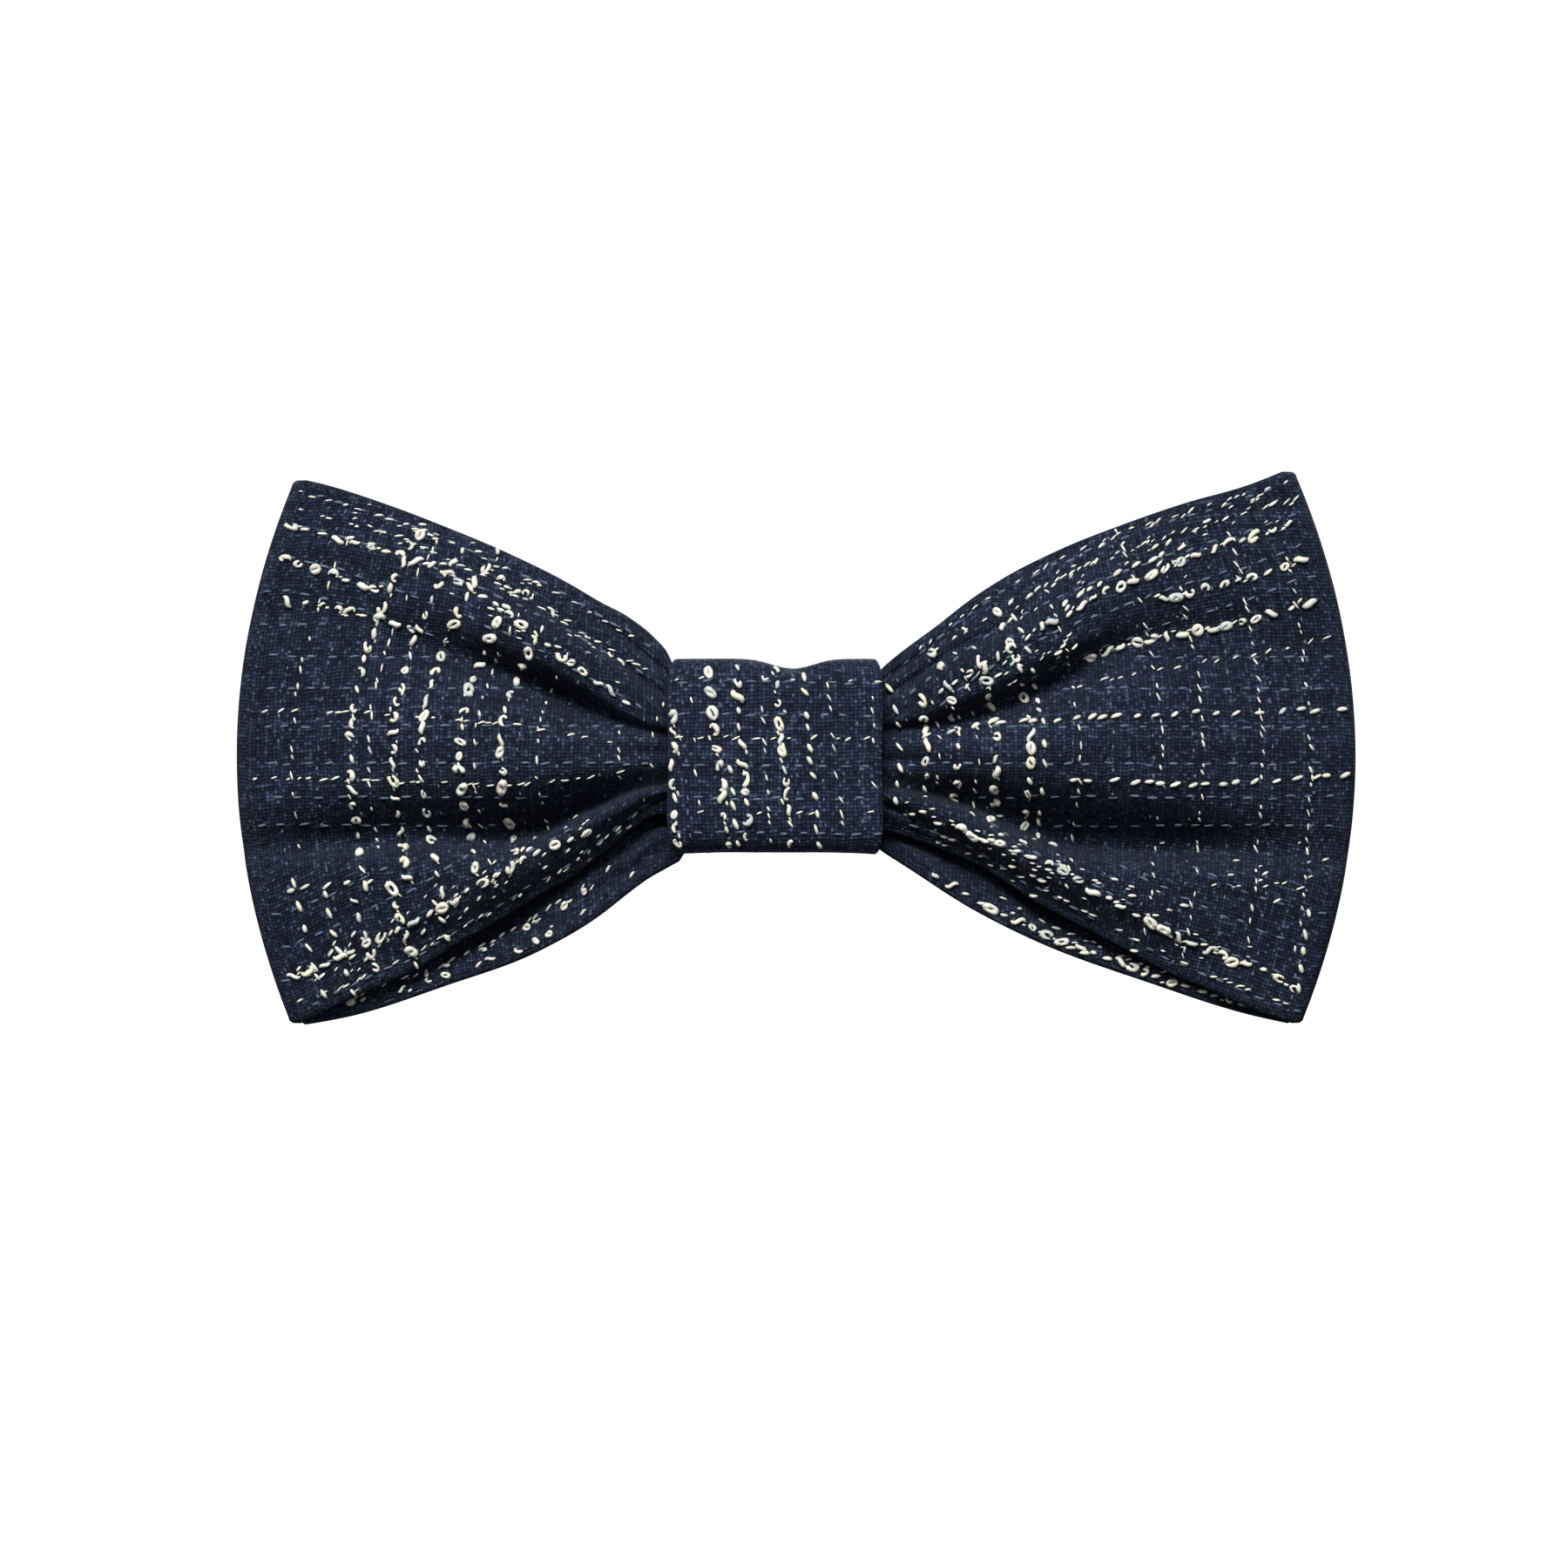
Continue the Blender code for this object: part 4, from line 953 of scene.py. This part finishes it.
# Slub yarns across the strip: distance from the knot, highest and lowest place, kind.
WARPS = {
    LEFT: [
        (45.2, 25, -15, "heavy"), (40.7, 24, -14, "heavy"), (37.6, 22, -15, "heavy"),
        (33.5, 18, -13, "heavy"), (29.2, 16, -12, "heavy"), (52.6, -12, -27, "medium"),
        (49.6, -13, -27, "medium"), (46.6, -15, -26, "heavy"), (42.6, -14, -24, "heavy"),
        (38.6, -14, -20, "medium"), (51.6, 24, -10, "thin"), (25.4, 11, -8, "thin"),
        (16.7, 3.4, -2.6, "thin"), (13.2, 10, -5, "sparse"), (43.3, 24, -12, "thin"),
        (32.0, 18, -14, "thin"),
    ],
    RIGHT: [
        (16.2, 7, -4, "heavy"), (19.5, 11, -6, "heavy"), (23.7, 14, -8, "heavy"), (27.2, 16, -10, "heavy"),
        (28.6, 15, -9, "medium"), (17.4, 6, -3.5, "thin"), (13.4, 8, -6, "medium"), (32.4, 18, -14, "thin"),
        (41.2, 24, -20, "thin"), (45.6, 22, -22, "thin"), (52.0, 24, -24, "thin"), (57.2, 22, -22, "thin"),
        (57.9, -15, -25, "medium"), (21.6, 12, -7, "thin"),
    ],
}
# Slub yarns along the strip, each a line of places.
WEFTS = {
    LEFT: [
        ([(53, 25), (46, 23), (42, 22), (36, 20), (30, 16.2), (26, 13.2), (19, 7.9), (15, 5.2)], "heavy"),
        ([(54, 21.5), (48, 19.6), (42.5, 17.8)], "heavy"),
        ([(54, 16.6), (49, 16.2), (44, 15), (38, 13.4)], "heavy"),
        ([(56, 4.8), (44, 4.6), (27, 3.2), (16, 1.2)], "thin"),
        ([(57, -2.3), (44, -2.6), (28, -3.2), (14, -1.4)], "thin"),
        ([(53, -14.4), (46, -13.7), (42, -13.3)], "medium"),
        ([(52.5, -24), (48, -22.2), (45, -20.6), (42, -19.2), (37, -17), (32, -13.9), (27.5, -11.4),
          (20, -8)], "heavy"),
        ([(51, -26.2), (46, -24.6), (38, -20.8), (30, -16.4), (22, -11.8), (15, -6.2)], "thin"),
        ([(51.6, 28.6), (44, 26.3), (37, 23.8), (30, 20.6), (22, 16.6), (15, 12.6)], "thin"),
        ([(52, 26.6), (40, 23.4), (30, 18.6), (20, 12.8), (13, 8.6)], "thin"),
        ([(34, 21.0), (28, 18.2), (22, 14.2), (16, 9.4)], "apart"),
    ],
    RIGHT: [
        ([(55, 25), (50.5, 23.3), (44.4, 21.3), (38, 18.6), (34.3, 17), (28.8, 13.9), (23, 10),
          (16.4, 6.4)], "heavy"),
        ([(57, 21.3), (52.8, 19.6), (46.5, 18), (40.4, 16.4)], "heavy"),
        ([(57.8, 16.4), (51.4, 14.7), (47.5, 13.7), (43, 13), (38.3, 12.2), (33.5, 10.6)], "heavy"),
        ([(60.3, 13.0), (53.8, 11.4), (40, 9), (32.4, 7.5)], "thin"),
        ([(61.5, 5), (47, 4.6), (36.4, 4.2), (27.8, 3.7), (21.7, 3.2), (14, 1.6)], "medium"),
        ([(61.7, -2), (51.8, -2.7), (45, -3.1), (30, -2.4)], "medium"),
        ([(47.7, -12.5), (53.8, -13.7), (58, -14.5)], "thin"),
        ([(57, -25.6), (52.4, -23), (46.3, -20.8), (40.4, -18), (36.8, -15.8), (31, -12.6), (26, -10.2),
          (19, -7.4)], "heavy"),
        ([(55, -26.6), (46, -23.2), (38, -19.2), (30, -14.8), (22, -10.8), (15, -8.4)], "thin"),
        ([(55, 29.4), (46, 26.7), (38, 24.2), (30, 20.8), (22, 16.4), (15, 11.2)], "thin"),
        ([(56, 27.6), (46, 24.8), (36, 21.6), (26, 16.8), (17, 11.2)], "thin"),
        ([(44, 22.6), (36, 19.2), (30, 15.6)], "medium"),
    ],
}
# Where stray ends gather thickly: a line, its spread and how many.
STREWN = {
    LEFT: [
        ([(50, 27.5), (38, 23.4), (28, 18.4), (18, 11)], 1.4, 34),
        ([(46, 23), (36, 19.6), (27, 14.2), (18, 8)], 1.2, 20),
        ([(50, -24.4), (42, -20), (34, -15.4), (26, -11.4), (17, -7)], 1.6, 64),
    ],
    RIGHT: [
        ([(56, 28), (44, 24.4), (33, 19.6), (26, 15)], 1.6, 60),
        ([(32, 13), (26, 9.6), (20, 6.6)], 0.9, 20),
        ([(32, -13), (26, -10.2), (20, -7.6), (14, -6)], 1.2, 60),
        ([(52, -22.4), (44, -19.4), (34, -14)], 1.6, 28),
        ([(58, -12), (50, -13.4), (40, -12.4)], 1.4, 14),
    ],
}
BACK_SHOWING = {
    LEFT: [
        ([(50, -27.4), (42, -25.6), (34, -23.2), (26, -20.2), (19, -16.0), (14, -11.6)], "apart"),
        ([(40, -24.4), (30, -20.2), (22, -15.8), (15, -9.6)], "apart"),
        ([(38, -23.4), (31, -20.6), (24, -17.0), (17, -12.4)], "sparse"),
        ([(46, -26.0), (36, -22.6), (28, -18.6), (20, -13.6)], "thin"),
    ],
    RIGHT: [
        ([(53, -27.4), (46, -25.4), (38, -22.6), (30, -19.6), (24, -16.8), (17, -12.8)], "heavy"),
        ([(51, -27.6), (44, -25.2), (36, -22.2), (28, -19.2)], "medium"),
        ([(48, -25.2), (38, -21.8), (30, -18.4), (24, -15.2)], "thin"),
    ],
}
# Slub yarns across the back, by distance, and along it, by the share of the way from the middle to the edge.
BACK_WARPS = [
    (17, "thin"), (26, "thin"), (31.5, "heavy"), (33, "heavy"), (40, "medium"), (44, "thin"), (52, "medium"),
]
BACK_ROWS = [
    (-0.8, "heavy"), (-0.62, "thin"), (-0.3, "medium"), (-0.1, "blue"),
    (0.12, "thin"), (0.4, "heavy"), (0.6, "blue"), (0.82, "heavy"),
]
# Slub yarns on the knot: each place is x across it and the distance down it from its front's middle.
KNOT_LINES = [
    ([(-7.3, -10.5), (-6.6, -4), (-5.6, 4), (-5.0, 10.5)], "heavy"),
    ([(-4.2, -10.5), (-3.8, -4), (-3.2, 4), (-2.8, 10.5)], "heavy"),
    ([(-0.1, -10.5), (0.4, -4), (1.3, 4), (1.9, 10.5)], "heavy"),
    ([(-4.9, 0), (-3.9, 10)], "medium"),
    ([(2.9, -10), (3.6, -2), (4.7, 10)], "medium"),
    ([(5.5, -9), (6.3, 0), (7.4, 9)], "thin"),
    ([(-1.6, -10), (-0.4, 10)], "thin"),
    ([(-8.9, -9), (-8.0, 9)], "sparse"),
    ([(-10.8, -4.8), (-10.9, 0), (-10.4, 9.5)], "heavy"),
    ([(10.2, -9), (10.7, 9)], "sparse"),
    ([(-11, -8.2), (11, -8.0)], "sparse"),
    ([(-11, -2.0), (11, -1.8)], "thin"),
    ([(-11, 5.8), (11, 6.1)], "sparse"),
]
KNOT_LINES += [([(-11, z), (11, z + 0.3)], "blue") for z in (-8.0, -4.5, 0.9, 4.4, 8.0)]
KNOT_LINES += [([(x - 0.4, -9), (x + 0.5, 9)], "mark") for x in (-9.6, -5.4, 2.2, 5.0, 8.9)]


def pale_rows(side):
    """The slate-blue yarns along the strip: level on the belly, and beside the edges on the ridges."""
    rows = []
    upper, lower = GATHERS[side][0][0], GATHERS[side][1][0]
    x = np.arange(13, REACH[side] - 1.5, 1.5)
    for z in (-7.4, -4.4, -0.8, 3.1, 7.2, 10.6, 14.0):
        clear = (z < smooth_curve(upper, x) - 0.4) & (z > smooth_curve(lower, x) + 0.8)
        rows.append(np.stack([x, 0 * x + z], 1)[clear])
    for edge, limit, way in ((TOP_EDGE, upper, 1), (FRONT_LOWER_EDGE, lower, -1)):
        for inset in (1.6, 5.2, 8.8, 12.4):
            z = smooth_curve(edge[side], x) - way * inset
            rows.append(np.stack([x, z], 1)[way * (z - smooth_curve(limit, x)) > 1.0])
    return [row for row in rows if len(row) > 3]


def edge_line(side, edge, inset):
    """A line along an edge of the bow, this far inside it."""
    distance = np.linspace(12, REACH[side] - 2.5, 30)
    z = edge_height(side, edge, distance) - inset
    return np.stack([distance - end_curve(side, distance) * z**2, z], 1)


def end_line(side):
    """A line down the front just inside the wing's end."""
    z = np.linspace(-26, 26.5, 30)
    return np.stack([REACH[side] - 2.0 - END_CURVE * z**2, z], 1)


MARK_GAP = 4.3
EDGE_FIBRES, END_FIBRES, KNOT_FIBRES = 180, 220, 120
bow_slubs = Bundle()
for side in (LEFT, RIGHT):
    front = bow_face(side, front_depth, FRONT_LOWER_EDGE, -1.0, 0.45)
    behind = bow_face(side, back_depth, BACK_LOWER_EDGE, 1.0, 1.5)
    lower = bow_face(side, back_depth, BACK_LOWER_EDGE, -1.0, 0.8, PLY_STACK)
    for distance, high, low, kind in WARPS[side]:
        sow(bow_slubs, front, warp_line(side, distance, high, low), kind)
    for line, kind in WEFTS[side]:
        sow(bow_slubs, front, line, kind)
    for line in pale_rows(side):
        sow(bow_slubs, front, line, "blue")
    for distance in np.arange(14.5, REACH[side] - 2, MARK_GAP):
        sow(bow_slubs, front, warp_line(side, distance, 27, -27), "mark")
    for line, spread, count in STREWN[side]:
        scatter(bow_slubs, front, line, spread, count)
    for line, kind in BACK_SHOWING[side]:
        sow(bow_slubs, lower, line, kind)
    frayed = ((TOP_EDGE, 0.8, front), (FRONT_LOWER_EDGE, -0.8, front), (BACK_LOWER_EDGE, -1.1, lower))
    for edge, inset, face in frayed:
        fray(bow_slubs, face, edge_line(side, edge, inset), EDGE_FIBRES)
    fray(bow_slubs, front, end_line(side), END_FIBRES)
    for distance, kind in BACK_WARPS:
        sow(bow_slubs, behind, warp_line(side, distance, 30, -30), kind)
    for share, kind in BACK_ROWS:
        at = np.linspace(14, REACH[side] - 3, 20)
        edge = TOP_EDGE if share > 0 else BACK_LOWER_EDGE
        z = share * (np.abs(edge_height(side, edge, at)) - 1)
        sow(bow_slubs, behind, np.stack([at - end_curve(side, at) * z**2, z], 1), kind)
bow_slubs.build("bow_slub_yarns")


def knot_surface(x, a):
    return knot_point(x, a)[0]


def on_knot(x, _):
    return np.abs(x) < KNOT_HALF - 0.2


knot_face = (knot_surface, away_from_knot, on_knot)
knot_slubs = Bundle()
for line, kind in KNOT_LINES:
    sow(knot_slubs, knot_face, line, kind)
for height in (-10.2, 10.4):
    fray(knot_slubs, knot_face, [(-11, height), (11, height)], KNOT_FIBRES)
knot_slubs.build("knot_slub_yarns")


def finer(node, look, bevel=0.0, smooth=0):
    """A finer copy of a CAD node: its edges eased, or its round wires made round."""
    source = frame["nodes"][node]
    body = source["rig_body"]
    mesh = source.data.copy()
    mesh.materials.clear()
    made = placed(node + "_finish", mesh, [look])
    shape = bmesh.new()
    shape.from_mesh(mesh)
    bmesh.ops.remove_doubles(shape, verts=shape.verts, dist=0.000004)
    if bevel:
        bmesh.ops.dissolve_limit(shape, angle_limit=math.radians(2), verts=shape.verts, edges=shape.edges)
    shape.to_mesh(mesh)
    shape.free()
    if bevel:
        modifier = made.modifiers.new("ease", "BEVEL")
        modifier.width, modifier.segments = bevel * MM, 2
        modifier.limit_method, modifier.angle_limit = "ANGLE", math.radians(28)
        modifier.harden_normals = True
    if smooth:
        modifier = made.modifiers.new("round", "SUBSURF")
        modifier.levels = modifier.render_levels = smooth
    mesh.polygons.foreach_set("use_smooth", np.ones(len(mesh.polygons), bool))
    graph = bpy.context.evaluated_depsgraph_get()
    finished = bpy.data.meshes.new_from_object(made.evaluated_get(graph))
    made.modifiers.clear()
    made.data = finished
    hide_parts(node)
    return made, body


for side_name, jaw_body in (("left", "left_jaw"), ("right", "right_jaw")):
    for node, look, bevel, slot in (
        (f"jaw_{side_name}", STEEL, 0.12, "clip_steel"),
        (f"hinge_pin_{side_name}", PIN, 0.08, "pin_steel"),
        (f"grip_pad_{side_name}", VINYL, 0.12, "grip_vinyl"),
    ):
        made, body = finer(node, look, bevel)
        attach(made, body)
    spring, _ = finer(f"torsion_spring_{side_name}", SPRING, smooth=2)
    low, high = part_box(f"torsion_spring_{side_name}")
    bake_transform(spring)
made, body = finer("clip_base_plate", STEEL, 0.12)
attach(made, body)
for node in ("gather_thread", "centre_back_stitch", "knot_whipstitch"):
    made, body = finer(node, THREAD, smooth=1)
    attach(made, body)


# ---- floor, light and camera, in metres
FLOOR = -0.42
SWEEP_RADIUS, SWEEP_CORNER, SWEEP_TOP, SWEEP_TURNS = 1.3, 0.3, 2.4, 64
EYE_DISTANCE, FRAME_WIDTH = 0.9, 0.1671
SENSOR = 36.0


def pale_paper():
    """Pale paper that glows where it rises from the floor: painted light, standing in for lighting from
    behind.
    """
    n = Nodes("pale_paper")
    grain = n.noise(n.node("TexCoord", 3), 260.0, 3.0)
    tint = n.mix(grain, (0.80, 0.80, 0.80, 1.0), (0.84, 0.84, 0.84, 1.0))
    height = n.node("SeparateXYZ", 2, None, Vector=n.node("NewGeometry", 0))
    rise = n.node("MapRange", 0, {"interpolation_type": "SMOOTHSTEP"}, Value=height)
    for place, value in enumerate((FLOOR, FLOOR + 0.09, 0.55, 1.0), 1):
        rise.node.inputs[place].default_value = value
    white = (1.0, 1.0, 1.0, 1.0)
    return n.finish(tint, 0.9, grain, 0.0001, 0.2, Emission_Color=white, Emission_Strength=rise)


def sweep():
    """A round seamless backdrop: a floor well below the tie that curves up all round, and lights nothing."""
    bends = np.linspace(0.1, 1.57, 12)
    profile = [(0.02, FLOOR), (SWEEP_RADIUS, FLOOR)]
    for g in bends:
        profile.append((SWEEP_RADIUS + SWEEP_CORNER * math.sin(g), FLOOR + SWEEP_CORNER * (1 - math.cos(g))))
    profile.append((SWEEP_RADIUS + SWEEP_CORNER, SWEEP_TOP))
    angles = 2 * math.pi * np.arange(SWEEP_TURNS) / SWEEP_TURNS
    points = [(r * math.cos(g), r * math.sin(g), z) for r, z in profile for g in angles]
    rings = np.arange(len(points)).reshape(len(profile), SWEEP_TURNS)
    mesh = bpy.data.meshes.new("studio_sweep")
    mesh.from_pydata(points, [], ring_quads(rings[:-1], rings[1:]) + [rings[0, ::-1].tolist()])
    made = placed("studio_sweep", mesh, [pale_paper()])
    made.visible_diffuse = made.visible_glossy = made.visible_shadow = False


def softbox(name, place, width, height, power, spread):
    """A soft rectangular lamp aimed at the knot."""
    light = bpy.data.lights.new(name, "AREA")
    light.shape, light.size, light.size_y = "RECTANGLE", width, height
    light.energy, light.spread = power, math.radians(spread)
    made = linked(name, light)
    made.location = place
    made.rotation_mode = "QUATERNION"
    made.rotation_quaternion = (-Vector(place)).to_track_quat("-Z", "Y")


sweep()
softbox("key", (-0.12, -0.76, 0.62), 0.40, 0.30, 1.35, 40.0)
softbox("fill", (0.20, -0.90, 0.15), 0.5, 0.5, 0.2, 60.0)
softbox("back", (0.30, 0.80, 0.42), 0.5, 0.4, 1.1, 50.0)
world = bpy.data.worlds.new("studio")
world.use_nodes = True
background = world.node_tree.nodes["Background"]
background.inputs[0].default_value = (1.0, 1.0, 1.0, 1.0)
background.inputs[1].default_value = 0.22
bpy.context.scene.world = world
bpy.context.scene.view_settings.view_transform = "Standard"

camera = bpy.data.cameras.new("camera")
camera.sensor_width = SENSOR
camera.lens = SENSOR * EYE_DISTANCE / FRAME_WIDTH
camera.clip_start, camera.clip_end = 0.01, 20.0
eye = linked("camera", camera)
eye.location = (0.00094, -EYE_DISTANCE - 0.011, -0.0030)
eye.rotation_euler = (math.radians(90), 0, 0)
bpy.context.scene.camera = eye
